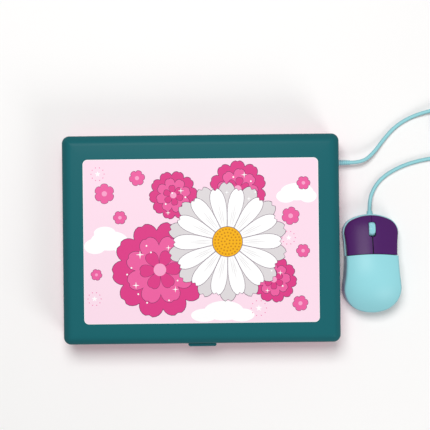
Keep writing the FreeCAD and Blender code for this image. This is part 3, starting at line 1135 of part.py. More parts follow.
# Tie: a flat band round the coil's turns on the far side
TIE_GAP, TIE_THICK, TIE_WIDE = size("tie_gap"), size("tie_thick"), size("tie_width")
TIE_IN = COIL_OUT - COIL_STEP * COIL_TURNS / 2 - CORD_R - TIE_GAP
TIE_OUT = COIL_OUT + CORD_R + TIE_GAP
TIE_LOW, TIE_HIGH = COIL_Z - CORD_R - TIE_GAP, COIL_Z + LAYER + CORD_R + TIE_GAP
band = Part.makeBox(TIE_OUT - TIE_IN + 2 * TIE_THICK, TIE_WIDE, TIE_HIGH - TIE_LOW + 2 * TIE_THICK,
                    V(COIL_X + TIE_IN - TIE_THICK, COIL_Y - TIE_WIDE / 2, TIE_LOW - TIE_THICK))
band = band.cut(Part.makeBox(TIE_OUT - TIE_IN, TIE_WIDE, TIE_HIGH - TIE_LOW,
                             V(COIL_X + TIE_IN, COIL_Y - TIE_WIDE / 2, TIE_LOW)))
solid("cord_tie", band, "table")

doc.recompute()
failed = [o.Label for o in doc.Objects if {"Invalid", "Error"} & set(o.State)]
cuts = [o for o in doc.Objects if o.TypeId == "PartDesign::Pocket"]
failed += [o.Label for o in cuts if o.Shape.Volume >= o.BaseFeature.Shape.Volume]
broken = [n for n, o in parts.items() if o.Shape.isNull() or not o.Shape.isValid() or not o.Shape.Solids]
if failed or broken:
    raise ValueError(f"failed features {failed}, broken sub-parts {broken}")
os.makedirs("parts", exist_ok=True)
for name, thing in parts.items():
    thing.Shape.exportStep(f"parts/{name}.step")
print(len(parts), "sub-parts written")
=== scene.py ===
import bmesh
import bpy
import math
from mathutils import Matrix, Vector


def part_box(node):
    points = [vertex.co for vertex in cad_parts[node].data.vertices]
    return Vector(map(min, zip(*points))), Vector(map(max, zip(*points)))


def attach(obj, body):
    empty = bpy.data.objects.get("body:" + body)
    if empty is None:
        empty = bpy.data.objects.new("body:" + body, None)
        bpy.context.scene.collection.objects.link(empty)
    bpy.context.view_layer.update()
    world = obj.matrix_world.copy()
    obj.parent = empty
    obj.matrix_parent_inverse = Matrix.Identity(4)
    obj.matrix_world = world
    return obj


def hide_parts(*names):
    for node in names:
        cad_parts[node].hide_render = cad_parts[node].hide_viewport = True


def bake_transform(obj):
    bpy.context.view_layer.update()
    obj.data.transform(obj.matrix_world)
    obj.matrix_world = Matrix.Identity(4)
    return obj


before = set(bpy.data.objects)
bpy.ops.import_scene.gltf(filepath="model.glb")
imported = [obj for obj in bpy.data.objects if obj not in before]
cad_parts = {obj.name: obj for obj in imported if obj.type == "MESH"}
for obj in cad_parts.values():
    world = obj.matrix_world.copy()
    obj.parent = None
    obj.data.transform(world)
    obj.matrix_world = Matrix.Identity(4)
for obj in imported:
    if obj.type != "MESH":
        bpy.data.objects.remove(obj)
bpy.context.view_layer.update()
scene = bpy.context.scene
scene.view_settings.view_transform = "Standard"


# Camera: a product shot from about a metre above the closed lid, a little to the hinge side of its
# middle. The lens is long, so the sides hardly show, and the picture is turned by under a degree.
def corners_of(name):
    """The low and the high corner of a CAD node's box."""
    return [Vector(corner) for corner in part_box(name)]


lid_low, lid_high = corners_of("lid_outer_shell")
lid_mid = (lid_low + lid_high) / 2
camera_off, camera_turn = Vector((0.0129, 0.0235, 1.0)), -0.65
camera = bpy.data.objects.new("camera", bpy.data.cameras.new("camera"))
scene.collection.objects.link(camera)
camera.data.sensor_width = 36
camera.data.lens = 91.65
camera.location = Vector((lid_mid.x, lid_mid.y, lid_high.z)) + camera_off
camera.rotation_euler = (0, 0, math.radians(camera_turn))
scene.camera = camera

# Studio: a plain pale table under a large soft lamp on the hinge side, and a smaller one low at the front
# right. The table and the white room look pale to the eye and in a gloss, but throw less light back, so
# that shadows stay.
table_half, table_bounce = 1.5, "#9A9094"
room_fill, room_seen = 0.26, 0.95
drift_scale, drift_detail, gloss_drift = 14, 3, 0.06
grain_detail, grain_depth = 2, 0.0001
mix_first, mix_second, mix_result = 6, 7, 2
floor_mesh = bpy.data.meshes.new("floor")
bm = bmesh.new()
bmesh.ops.create_grid(bm, x_segments=1, y_segments=1, size=table_half)
bm.to_mesh(floor_mesh)
bm.free()
floor = bpy.data.objects.new("floor", floor_mesh)
scene.collection.objects.link(floor)


def linear(code):
    """A colour written as in a paint list, '#rrggbb', as the shader wants it."""
    parts = [int(code[i:i + 2], 16) / 255 for i in (1, 3, 5)]
    return tuple(p / 12.92 if p < 0.04045 else ((p + 0.055) / 1.055) ** 2.4 for p in parts) + (1,)


def new_material(name):
    material = bpy.data.materials.new(name)
    material.use_nodes = True
    return material, material.node_tree.nodes, material.node_tree.links


def shade(name, code, roughness, grain=0.0, mottle=0.03, fineness=900, specular=0.4):
    """A moulded or printed finish: its colour and gloss drift a little, and a fine grain bumps it."""
    material, nodes, links = new_material(name)
    shader = nodes["Principled BSDF"]
    where = nodes.new("ShaderNodeTexCoord")
    drift = nodes.new("ShaderNodeTexNoise")
    drift.inputs["Scale"].default_value = drift_scale
    drift.inputs["Detail"].default_value = drift_detail
    links.new(where.outputs["Object"], drift.inputs["Vector"])
    tint = nodes.new("ShaderNodeMix")
    tint.data_type = "RGBA"
    colour = linear(code)
    tint.inputs[mix_first].default_value = tuple(c * (1 - mottle) for c in colour[:3]) + (1,)
    tint.inputs[mix_second].default_value = tuple(min(c * (1 + mottle), 1) for c in colour[:3]) + (1,)
    links.new(drift.outputs["Fac"], tint.inputs[0])
    links.new(tint.outputs[mix_result], shader.inputs["Base Color"])
    gloss = nodes.new("ShaderNodeMapRange")
    gloss.inputs["To Min"].default_value = roughness - gloss_drift
    gloss.inputs["To Max"].default_value = roughness + gloss_drift
    links.new(drift.outputs["Fac"], gloss.inputs["Value"])
    links.new(gloss.outputs["Result"], shader.inputs["Roughness"])
    shader.inputs["Specular IOR Level"].default_value = specular
    if grain:
        texture = nodes.new("ShaderNodeTexNoise")
        texture.inputs["Scale"].default_value = fineness
        texture.inputs["Detail"].default_value = grain_detail
        links.new(where.outputs["Object"], texture.inputs["Vector"])
        bump = nodes.new("ShaderNodeBump")
        bump.inputs["Strength"].default_value = grain
        bump.inputs["Distance"].default_value = grain_depth
        links.new(texture.outputs["Fac"], bump.inputs["Height"])
        links.new(bump.outputs["Normal"], shader.inputs["Normal"])
    return material


def seen_directly(nodes, links):
    """One for rays from the camera, a gloss or a clear piece, and nothing for the rest."""
    path = nodes.new("ShaderNodeLightPath")
    total = path.outputs["Is Camera Ray"]
    for kind in ("Is Glossy Ray", "Is Transmission Ray"):
        both = nodes.new("ShaderNodeMath")
        both.operation = "MAXIMUM"
        links.new(total, both.inputs[0])
        links.new(path.outputs[kind], both.inputs[1])
        total = both.outputs[0]
    return total


pale_table = shade("pale_table", "#FCFBFA", roughness=0.75, mottle=0.01)
nodes, links = pale_table.node_tree.nodes, pale_table.node_tree.links
dim_table = nodes.new("ShaderNodeBsdfDiffuse")
dim_table.inputs["Color"].default_value = linear(table_bounce)
seen = nodes.new("ShaderNodeMixShader")
links.new(seen_directly(nodes, links), seen.inputs[0])
links.new(dim_table.outputs[0], seen.inputs[1])
links.new(nodes["Principled BSDF"].outputs[0], seen.inputs[2])
links.new(seen.outputs[0], nodes["Material Output"].inputs["Surface"])
floor.data.materials.append(pale_table)


def lamp(name, place, size, power):
    """A square soft lamp that faces the lid."""
    data = bpy.data.lights.new(name, "AREA")
    data.size = size
    data.energy = power
    thing = bpy.data.objects.new(name, data)
    thing.location = place
    thing.rotation_euler = (lid_mid - Vector(place)).to_track_quat("-Z", "Y").to_euler()
    scene.collection.objects.link(thing)


lamp("soft_box", place=(-0.15, 0.58, 1.45), size=0.7, power=16.5)
lamp("front_fill", place=(0.75, -0.95, 0.8), size=0.6, power=6)
world = bpy.data.worlds.new("studio")
scene.world = world
world.use_nodes = True
nodes, links = world.node_tree.nodes, world.node_tree.links
nodes["Background"].inputs["Color"].default_value = (1, 1, 1, 1)
room = nodes.new("ShaderNodeMapRange")
room.inputs["To Min"].default_value = room_fill
room.inputs["To Max"].default_value = room_seen
links.new(seen_directly(nodes, links), room.inputs["Value"])
links.new(room.outputs["Result"], nodes["Background"].inputs["Strength"])

# Mouse cord: one soft round cord from the mouse's nose to the grommet in the base's right side.
# Its spare length is wound into a flat coil of two layers, held by a tie, and the rest lies on the table.
cord_dia, table_gap = 0.0035, 0.00005
cord_r = cord_dia / 2
lie = cord_r + table_gap
relief_low, relief_high = corners_of("mouse_cord_relief")
relief_mid = (relief_low + relief_high) / 2
grommet_low, grommet_high = corners_of("base_cord_grommet")
grommet_mid = (grommet_low + grommet_high) / 2
cord_start = Vector((relief_mid.x, relief_high.y, relief_mid.z))
cord_end = Vector((grommet_high.x, grommet_mid.y, grommet_mid.z))
coil_right, coil_back, coil_lift = 0.117, 0.0275, 0.0009
coil_mid = Vector((lid_high.x + coil_right, cord_end.y + coil_back, cord_r + coil_lift))
coil_out, coil_step, coil_turns, coil_layer = 0.02275, 0.004, 3.5, 0.0041
climb_turns, points_per_turn = 0.5, 16


def coil_point(turn):
    """The coil's centre line: in for half its turns, over, and out again a layer higher."""
    middle = coil_turns / 2
    radius = coil_out - coil_step * (middle - abs(turn - middle))
    climb = min(max((turn - middle) / climb_turns + 0.5, 0), 1)
    angle = 2 * math.pi * turn - math.pi / 2
    rise = coil_layer * climb * climb * (3 - 2 * climb)
    return coil_mid + Vector((radius * math.cos(angle), radius * math.sin(angle), rise))


def between(start, end, way):
    """Points given as fractions of the way along X and along Y, and a height."""
    step = end - start
    return [Vector((start.x + fx * step.x, start.y + fy * step.y, z)) for fx, fy, z in way]


lead_way = [(0.0, 0.17, cord_start.z), (0.035, 0.36, lie + 0.001), (0.12, 0.57, lie), (0.25, 0.73, lie),
            (0.42, 0.86, lie), (0.6, 0.94, lie), (0.77, 0.985, lie + 0.0003)]
tail_way = [(0.14, 0.005, coil_mid.z + coil_layer - 0.0012), (0.29, 0.06, lie + 0.0014), (0.44, 0.17, lie),
            (0.57, 0.34, lie), (0.67, 0.56, lie + 0.0006), (0.775, 0.83, lie + 0.0034),
            (0.885, 1.0, cord_end.z)]
turns = [coil_point(i / points_per_turn) for i in range(int(coil_turns * points_per_turn) + 1)]
coil_in = turns[0] - Vector((cord_dia, 0, 0))
coil_off = turns[-1] - Vector((cord_dia, 0, 0))
route = [cord_start] + between(cord_start, coil_in, lead_way) + [coil_in] + turns
route += [coil_off] + between(coil_off, cord_end, tail_way) + [cord_end]


def mesh_of(holder):
    """The mesh that a curve, a text or a cut shape gives, for which alone its object was made."""
    scene.collection.objects.link(holder)
    mesh = bpy.data.meshes.new_from_object(holder.evaluated_get(bpy.context.evaluated_depsgraph_get()))
    bpy.data.objects.remove(holder)
    return mesh


def cord_mesh(thickness):
    """The route as a NURBS line, bare or as a tube."""
    curve = bpy.data.curves.new("cord_route", "CURVE")
    curve.dimensions = "3D"
    curve.resolution_u = 8
    spline = curve.splines.new("NURBS")
    spline.points.add(len(route) - 1)
    for point, spot in zip(spline.points, route):
        point.co = (*spot, 1)
    spline.order_u = 3
    spline.use_endpoint_u = True
    curve.bevel_depth = thickness
    curve.bevel_resolution = 4
    curve.use_fill_caps = thickness > 0
    return mesh_of(bpy.data.objects.new("cord_route", curve))


cord_line = [tuple(v.co) for v in cord_mesh(0).vertices]
cord_data = cord_mesh(cord_r)
cord_data.name = "mouse_cord"
cord = bpy.data.objects.new("mouse_cord", cord_data)
scene.collection.objects.link(cord)
for face in cord_data.polygons:
    face.use_smooth = True
cord_jacket = shade("cord_jacket", "#93D3DA", roughness=0.5, grain=0.06, fineness=1500)
cord_data.materials.clear()
cord_data.materials.append(cord_jacket)
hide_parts("mouse_cord_lead", "mouse_cord_coil", "mouse_cord_tail")
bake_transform(cord)


def dress(material, *names):
    """Gives CAD nodes a finish."""
    for name in names:
        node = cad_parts[name]
        node.data.materials.clear()
        node.data.materials.append(material)


dress(shade("tie_film", "#E9E9E6", roughness=0.4), "cord_tie")

# Base shells: a bottom shell and a deck, moulded in the same satin pink and screwed together from below.
# A door in the bottom shell, held by one screw, closes the battery box.
case_pink = shade("case_pink", "#EE6FA6", roughness=0.38, grain=0.05, fineness=1400)
dress(case_pink, "base_bottom_shell", "base_top_deck", "battery_door")
base_under, base_slope, base_seam, deck_top = 0.002, 0.0016, 0.013, 0.024
shell_ease, seam_ease, deck_ease = 0.0007, 0.0004, 0.0008
shell_reach, deck_reach, door_reach = 0.004, 0.0025, 0.002
merge_dist, level_play, least_crease, place_digits = 0.00001, 0.0001, math.radians(30), 5


def edge_key(ends):
    """An edge known by the places of its ends, the same in loose triangles as in a merged copy."""
    return frozenset(tuple(round(c, place_digits) for c in end) for end in ends)


def round_rim(name, widths, within=1.0):
    """Rounds a CAD node's level edges at given heights, each by its width.

    Only edges nearer than a given distance to the sides of the node's box are rounded.
    """
    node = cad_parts[name]
    low, high = corners_of(name)
    widest = max(widths.values())
    bm = bmesh.new()
    bm.from_mesh(node.data)
    bmesh.ops.remove_doubles(bm, verts=bm.verts, dist=merge_dist)
    rim = {}
    for edge in bm.edges:
        one, other = (v.co for v in edge.verts)
        spot = (one + other) / 2
        inset = min(min(spot[i] - low[i], high[i] - spot[i]) for i in (0, 1))
        for height, width in widths.items():
            level = max(abs(one.z - height), abs(other.z - height)) < level_play
            if level and inset < within and edge.calc_face_angle(0) > least_crease:
                rim[edge_key((one, other))] = width / widest
    bm.free()
    weights = node.data.attributes.new("bevel_weight_edge", "FLOAT", "EDGE")
    for edge in node.data.edges:
        ends = [node.data.vertices[i].co for i in edge.vertices]
        weights.data[edge.index].value = rim.get(edge_key(ends), 0)
    weld = node.modifiers.new("weld_rim", "WELD")
    weld.merge_threshold = merge_dist
    ease = node.modifiers.new("round_rim", "BEVEL")
    ease.width = widest
    ease.segments = 4
    ease.limit_method = "WEIGHT"
    ease.use_clamp_overlap = False
    ease.harden_normals = True


shell_rims = {base_under: shell_ease, base_under + base_slope: shell_ease, base_seam: seam_ease}
round_rim("base_bottom_shell", shell_rims, shell_reach)
round_rim("base_top_deck", {base_seam: seam_ease, deck_top: deck_ease}, deck_reach)
round_rim("battery_door", {base_under: seam_ease}, door_reach)

# Feet: four pads of dark rubber with a fine grain, pressed into shallow recesses under the base.
# The mould rounds the edge that stands on the table.
foot_ease = 0.0007
round_rim("rubber_feet", {0: foot_ease})
dress(shade("foot_rubber", "#2A2A2C", roughness=0.85, grain=0.2, fineness=700), "rubber_feet")

# Screws, pins and contacts: plated steel. The screws of the case, door, lid and mouse go in from below,
# and have pan heads with a cross recess. The rest are hidden and stay plain.
steel = shade("plated_steel", "#B9BBC0", roughness=0.3)
steel.node_tree.nodes["Principled BSDF"].inputs["Metallic"].default_value = 1
dress(steel, "board_screws", "hinge_pins", "hinge_cable_bush", "display_screws", "battery_contacts")
head_dia, shank_dia, deep_head, low_head = 0.0054, 0.0028, 0.002, 0.001
screws_apart, screw_sides = 0.008, 24
flat_share, dome_share, dome_drop, edge_drop = 0.78, 0.97, 0.25, 0.2
arm_share, slit_share, cross_taper, cross_depth = 0.52, 0.15, 0.7, 0.6
cross_corners, arm_end, tip_share = 12, 0.8, 0.3
smooth_below = math.radians(40)


def ring_edges(verts):
    """The edges of a ring of points, in order."""
    return list(dict.fromkeys(e for v in verts for e in v.link_edges))


def carry(bm, edges, ratio, rise):
    """Draws a ring of edges out into a wall, scaled about the Z axis and raised, and gives its end."""
    made = bmesh.ops.extrude_edge_only(bm, edges=edges)["geom"]
    for v in made:
        if isinstance(v, bmesh.types.BMVert):
            v.co = (v.co.x * ratio, v.co.y * ratio, v.co.z + rise)
    return [e for e in made if isinstance(e, bmesh.types.BMEdge) and e.is_boundary]


def middles(name):
    """Where a node's screws stand, seen from above."""
    groups = []
    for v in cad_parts[name].data.vertices:
        near = [group for group in groups if (group[0] - v.co).xy.length < screws_apart]
        if near:
            near[0].append(v.co)
        else:
            groups.append([v.co])
    spots = []
    for group in groups:
        spans = [[co[i] for co in group] for i in (0, 1)]
        spots.append(Vector([(min(span) + max(span)) / 2 for span in spans]))
    return spots


def cross_screw(head_r, head_high, shank_r, length):
    """A pan-head screw with a cross recess, head up, its top at zero."""
    bm = bmesh.new()
    flat = bmesh.ops.create_circle(bm, segments=screw_sides, radius=flat_share * head_r)["verts"]
    rim = ring_edges(flat)
    half_step = Matrix.Rotation(math.pi / cross_corners, 4, "Z")
    corners = bmesh.ops.create_circle(bm, segments=cross_corners, radius=1, matrix=half_step)["verts"]
    cross = ring_edges(corners)
    arm, slit = arm_share * head_r, slit_share * head_r
    for v in corners:
        across = arm if abs(v.co.x) > arm_end else slit
        along = arm if abs(v.co.y) > arm_end else slit
        v.co = (math.copysign(across, v.co.x), math.copysign(along, v.co.y), 0)
    bmesh.ops.bridge_loops(bm, edges=rim + cross)
    recess = carry(bm, cross, cross_taper, -cross_depth * head_high)
    bmesh.ops.edgeloop_fill(bm, edges=recess)
    rim = carry(bm, rim, dome_share / flat_share, -dome_drop * head_high)
    rim = carry(bm, rim, 1 / dome_share, -edge_drop * head_high)
    rim = carry(bm, rim, 1, -(1 - dome_drop - edge_drop) * head_high)
    rim = carry(bm, rim, shank_r / head_r, 0)
    rim = carry(bm, rim, 1, head_high + shank_r - length)
    rim = carry(bm, rim, tip_share, -shank_r)
    bmesh.ops.edgeloop_fill(bm, edges=rim)
    bmesh.ops.recalc_face_normals(bm, faces=bm.faces)
    mesh = bpy.data.meshes.new("cross_screw")
    bm.to_mesh(mesh)
    bm.free()
    return mesh


def finish_piece(name, bm, material, body, slot, *nodes):
    """Makes a modelled piece that stands for CAD nodes and rides their body."""
    for face in bm.faces:
        face.smooth = True
    mesh = bpy.data.meshes.new(name)
    bm.to_mesh(mesh)
    bm.free()
    mesh.materials.append(material)
    mesh.set_sharp_from_angle(angle=smooth_below)
    piece = bpy.data.objects.new(name, mesh)
    scene.collection.objects.link(piece)
    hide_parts(*nodes)
    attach(piece, body)


def cross_screws(node, head_high, body):
    """A screw in each place of a node, head down."""
    low, high = corners_of(node)
    one = cross_screw(head_dia / 2, head_high, shank_dia / 2, high.z - low.z)
    one.transform(Matrix.Rotation(math.pi, 4, "X"))
    bm = bmesh.new()
    for spot in middles(node):
        screw = one.copy()
        screw.transform(Matrix.Translation((spot.x, spot.y, low.z)))
        bm.from_mesh(screw)
        bpy.data.meshes.remove(screw)
    bpy.data.meshes.remove(one)
    finish_piece(f"{node}_cross_head", bm, steel, body, "steel", node)


cross_screws("base_case_screws", deep_head, "base")
cross_screws("battery_door_screw", low_head, "base")
cross_screws("lid_screws", low_head, "lid")
cross_screws("mouse_screws", deep_head, "mouse")

# Inner works: dark-wrapped cells, boards with a green mask, and a speaker, switches and cable in black.
# They lie in the battery box and on bosses behind the shells, and only the speaker shows, through its
# grille.
dress(shade("cell_wrap", "#36424F", roughness=0.35), "battery_cells")
board_green = shade("solder_mask", "#1F5C36", roughness=0.4, grain=0.1, fineness=500)
dress(board_green, "main_circuit_board", "display_board", "mouse_circuit_board")
moulded_black = shade("moulded_black", "#151517", roughness=0.5)
dress(moulded_black, "speaker_driver", "mouse_click_switches", "display_cable_base", "display_cable_lid")

# Strain reliefs: soft sleeves moulded on the cord, gripped by the walls of the base and of the mouse.
# The base's tapers in rings, so that it bends with the cord, and the mouse's is a short collar.
wall_x = corners_of("base_bottom_shell")[1].x
sleeve_wall, sleeve_rings, sleeve_sides = 0.0004, 6, 32
sleeve_end, sleeve_length = cord_r + sleeve_wall, grommet_high.x - wall_x
flange_r, neck_r, flange_thick, flange_flat, flange_ease = 0.0043, 0.0032, 0.0013, 0.6, 0.9
first_ring_r, groove_share = 0.00275, 0.82
groove_end, ring_begin, ring_end = 0.3, 0.4, 0.9
inside = wall_x - grommet_low.x
grommet_outline = [
    (-inside, cord_r), (-inside, flange_r), (flange_thick - inside, flange_r),
    (flange_thick - inside, neck_r), (0, neck_r), (0, flange_r), (flange_flat * flange_thick, flange_r),
    (flange_thick, flange_ease * flange_r)]
ring_pitch = (sleeve_length - flange_thick) / sleeve_rings
for i in range(sleeve_rings):
    start = flange_thick + i * ring_pitch
    ring_r = first_ring_r - (first_ring_r - sleeve_end) * i / sleeve_rings
    groove_r = groove_share * ring_r
    grommet_outline += [(start, groove_r), (start + groove_end * ring_pitch, groove_r)]
    grommet_outline += [(start + ring_begin * ring_pitch, ring_r), (start + ring_end * ring_pitch, ring_r)]
grommet_outline += [(sleeve_length, sleeve_end), (sleeve_length, cord_r)]


def turned(outline, steps, closed):
    """An outline, along X and out from it, turned about the X axis."""
    bm = bmesh.new()
    corners = [bm.verts.new((along, 0, out)) for along, out in outline]
    ends = corners[1:] + corners[:1] if closed else corners[1:]
    edges = [bm.edges.new(pair) for pair in zip(corners, ends)]
    bmesh.ops.spin(bm, geom=corners + edges, cent=(0, 0, 0), axis=(1, 0, 0), angle=2 * math.pi,
                   steps=steps, use_merge=True)
    bmesh.ops.remove_doubles(bm, verts=bm.verts, dist=merge_dist)
    bmesh.ops.recalc_face_normals(bm, faces=bm.faces)
    return bm


def sleeve(name, outline, place, node, body):
    """A turned sleeve on the cord."""
    bm = turned(outline, sleeve_sides, closed=True)
    bmesh.ops.transform(bm, matrix=place, verts=bm.verts)
    finish_piece(name, bm, cord_jacket, body, "cord_aqua", node)


grommet_place = Matrix.Translation((wall_x, cord_end.y, cord_end.z))
sleeve("ringed_grommet", grommet_outline, grommet_place, "base_cord_grommet", "base")
collar_r = (relief_high.x - relief_low.x) / 2
collar_length = relief_high.y - relief_low.y
collar_nose = [(-0.0012, 1), (-0.0005, 0.94), (0, 0.8)]
collar_outline = [(-collar_length, cord_r), (-collar_length, collar_r)]
collar_outline += [(along, share * collar_r) for along, share in collar_nose] + [(0, cord_r)]
collar_place = Matrix.Translation(cord_start) @ Matrix.Rotation(math.pi / 2, 4, "Z")
sleeve("mouse_cord_collar", collar_outline, collar_place, "mouse_cord_relief", "mouse")

# Keys: a silicone sheet with a pad for each letter and number, and hard keys for what is pressed most.
# Both are lavender, with white legends printed on their tops.
key_ease = 0.0005
key_lavender = shade("key_lavender", "#C48CC3", roughness=0.45, grain=0.08, fineness=1600)
mat_lavender = shade("mat_lavender", "#BF86BE", roughness=0.6, grain=0.1, fineness=1600)
hard_keys = [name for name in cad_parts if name.startswith(("activity_key", "key_"))]
dress(key_lavender, *hard_keys)
dress(mat_lavender, "keypad_mat")
for name in ["keypad_mat", *hard_keys]:
    round_rim(name, {corners_of(name)[1].z: key_ease})

# Lid shell: a deep tray moulded in glossy teal, with an edge that rolls off softly and a finger tab in
# front. Its top is let in for the printed panel, its rear wall is notched round the hinge barrels, and
# screws through the lid frame hold it.
lid_teal = shade("lid_teal", "#1E646B", roughness=0.3, grain=0.03, mottle=0.04, fineness=1800,
                 specular=0.05)
lid_bevel, lid_corner, least_corner, lid_wall = 0.006, 0.007, 0.001, 0.002
lower_roll, upper_roll, roll_steps, rim_ease = 0.0026, 0.0036, 6, 0.0005
label_play, label_recess, label_corner, top_fall = 0.0002, 0.0008, 0.0044, 0.0001
hinge_in, hinge_up = 0.005, 0.024
notch_r, notch_long, notch_x, notch_sides = 0.0062, 0.0796, 0.07, 48
tab_wide, tab_proud, tab_thick, tab_lift, tab_corner = 0.026, 0.003, 0.005, 0.001, 0.002
corner_points = 10
label_low, label_high = corners_of("lid_label")


def level_loop(bm, low, high, corner, inset, height):
    """A level loop of edges: a rectangle with rounded corners, drawn in by an inset."""
    half_step = Matrix.Rotation(math.pi / (4 * corner_points), 4, "Z")
    ring = bmesh.ops.create_circle(bm, segments=4 * corner_points, radius=1, matrix=half_step)["verts"]
    middle, reach = (low + high) / 2, (high - low) / 2
    radius = max(corner - inset, least_corner)
    for v in ring:
        across = math.copysign(reach.x - inset - radius, v.co.x) + radius * v.co.x
        along = math.copysign(reach.y - inset - radius, v.co.y) + radius * v.co.y
        v.co = (middle.x + across, middle.y + along, height)
    return ring_edges(ring)


def skin(bm, loops):
    """Joins level loops, no two neighbours at one height, and closes the first and the last."""
    for one, other in zip(loops, loops[1:]):
        bmesh.ops.bridge_loops(bm, edges=one + other)
    bmesh.ops.edgeloop_fill(bm, edges=loops[0])
    bmesh.ops.edgeloop_fill(bm, edges=loops[-1])


def roll(start, corner, end):
    """A soft turn in an outline, from a point towards a corner and round to another point."""
    shares = [i / roll_steps for i in range(roll_steps + 1)]
    return [start * (1 - t) ** 2 + corner * 2 * t * (1 - t) + end * t ** 2 for t in shares]


def cut_away(bm, cutter):
    """Takes the cutter's shape out of a piece."""
    blanks = []
    for shape in (bm, cutter):
        bmesh.ops.recalc_face_normals(shape, faces=shape.faces)
        mesh = bpy.data.meshes.new("cut_away")
        shape.to_mesh(mesh)
        blanks.append(bpy.data.objects.new("cut_away", mesh))
    cut = blanks[0].modifiers.new("cut_away", "BOOLEAN")
    cut.operation = "DIFFERENCE"
    cut.solver = "MANIFOLD"
    cut.object = blanks[1]
    scene.collection.objects.link(blanks[1])
    mesh = mesh_of(blanks[0])
    bpy.data.objects.remove(blanks[1])
    cutter.free()
    bm.clear()
    bm.from_mesh(mesh)
    bpy.data.meshes.remove(mesh)


slope_foot, slope_head = Vector((0, lid_high.z - lid_bevel)), Vector((lid_bevel, lid_high.z))
up_slope = (slope_head - slope_foot).normalized()
under_slope = lid_bevel + lid_wall * (math.sqrt(2) - 1)
lid_outline = [
    (under_slope, lid_high.z - lid_wall), (lid_wall, lid_high.z - under_slope),
    (lid_wall, lid_low.z + rim_ease), (lid_wall / 2, lid_low.z), (0, lid_low.z + rim_ease)]
lid_outline += roll(slope_foot - Vector((0, lower_roll)), slope_foot, slope_foot + up_slope * lower_roll)
lid_outline += roll(slope_head - up_slope * upper_roll, slope_head, slope_head + Vector((upper_roll, 0)))
edge_low, edge_high = lid_low.xy + Vector((0, tab_proud)), lid_high.xy
bm = bmesh.new()
loops = [level_loop(bm, edge_low, edge_high, lid_corner, inset, height) for inset, height in lid_outline]
for height in (lid_high.z - top_fall, lid_high.z - label_recess):
    loops.append(level_loop(bm, label_low.xy, label_high.xy, label_corner, -label_play, height))
skin(bm, loops)
notches = bmesh.new()
for side in (-1, 1):
    middle = Vector((lid_mid.x + side * notch_x, lid_high.y - hinge_in, hinge_up))
    along_hinge = Matrix.Translation(middle) @ Matrix.Rotation(math.pi / 2, 4, "Y")
    bmesh.ops.create_cone(notches, cap_ends=True, segments=notch_sides, radius1=notch_r, radius2=notch_r,
                          depth=notch_long, matrix=along_hinge)
cut_away(bm, notches)
tab_low = Vector((lid_mid.x - tab_wide / 2, lid_low.y))
tab_high = Vector((lid_mid.x + tab_wide / 2, lid_low.y + tab_proud + lid_wall / 2))
tab_under, tab_top = lid_low.z + tab_lift, lid_low.z + tab_lift + tab_thick
tab_outline = [(rim_ease, tab_under), (0, tab_under + rim_ease), (0, tab_top - rim_ease),
               (rim_ease, tab_top)]
skin(bm, [level_loop(bm, tab_low, tab_high, tab_corner, inset, height) for inset, height in tab_outline])
bmesh.ops.recalc_face_normals(bm, faces=bm.faces)
finish_piece("rolled_lid_shell", bm, lid_teal, "lid", "lid_teal", "lid_outer_shell")

# Lid frame: a flat moulding in pale aqua that closes the lid shell from inside.
# It carries the hinge barrels, and recesses for the screen surround and the window.
pale_aqua = shade("pale_aqua", "#98DBE3", roughness=0.36, grain=0.03, fineness=1800, specular=0.2)
dress(pale_aqua, "lid_inner_bezel")

# Printed panel: a film with a fine white edge, let into the lid's top.
# Its picture is a generic bunch of flowers in white, magenta and gold on pale pink, printed in flat
# colours that lie over each other, most with a dark outline.
dress(shade("label_white", "#FFFFFF", roughness=0.35, mottle=0.01), "lid_label")
mm = 0.001
ink_step, overlap_step = 0.011 * mm, 0.004 * mm
petal_points, petal_waist, petal_flare, notch_narrow = 28, 0.72, 0.34, 3


def top_of(name):
    """The middle of a CAD node's top."""
    low, high = corners_of(name)
    return Matrix.Translation(((low.x + high.x) / 2, (low.y + high.y) / 2, high.z))


def lay(verts, x, y, turn, long, wide, level=0):
    """Puts flat verts drawn about the origin in their place, millimetres and degrees."""
    place = Matrix.Translation((x * mm, y * mm, level * overlap_step))
    place @= Matrix.Rotation(math.radians(turn), 4, "Z")
    for v in verts:
        v.co = place @ Vector((v.co.x * long * mm, v.co.y * wide * mm, 0))


def oval(bm, x, y, long, wide=None, turn=0, points=32, level=0):
    """A flat ellipse, or a circle."""
    made = bmesh.ops.create_circle(bm, cap_ends=True, segments=points, radius=1)["verts"]
    lay(made, x, y, turn, long, wide or long, level)


def star(bm, x, y, size, points=5, waist=0.42):
    """A flat star with that many points."""
    made = bmesh.ops.create_circle(bm, cap_ends=True, segments=2 * points, radius=1)["verts"]
    for v in made[1::2]:
        v.co *= waist
    lay(made, x, y, 0, size, size)


def petals(bm, x, y, near, far, wide, count, turn=0, grow=0.0, notch=0.0):
    """A ring of petals, narrow at the root and notched at the tip, each grown for an outline under it."""
    half = (far - near) / 2
    for i in range(count):
        made = bmesh.ops.create_circle(bm, cap_ends=True, segments=petal_points, radius=1)["verts"]
        for v in made:
            v.co.y *= petal_waist + petal_flare * v.co.x
            v.co.x -= notch * max(v.co.x, 0) * (1 - min(abs(v.co.y) * notch_narrow, 1)) ** 2
            v.co.x *= 1 + grow / half
            v.co.y *= 1 + grow / wide
        angle = turn + 360 * i / count
        across = (near + half) * math.cos(math.radians(angle))
        along = (near + half) * math.sin(math.radians(angle))
        lay(made, x + across, y + along, angle, half, wide, i % 2)


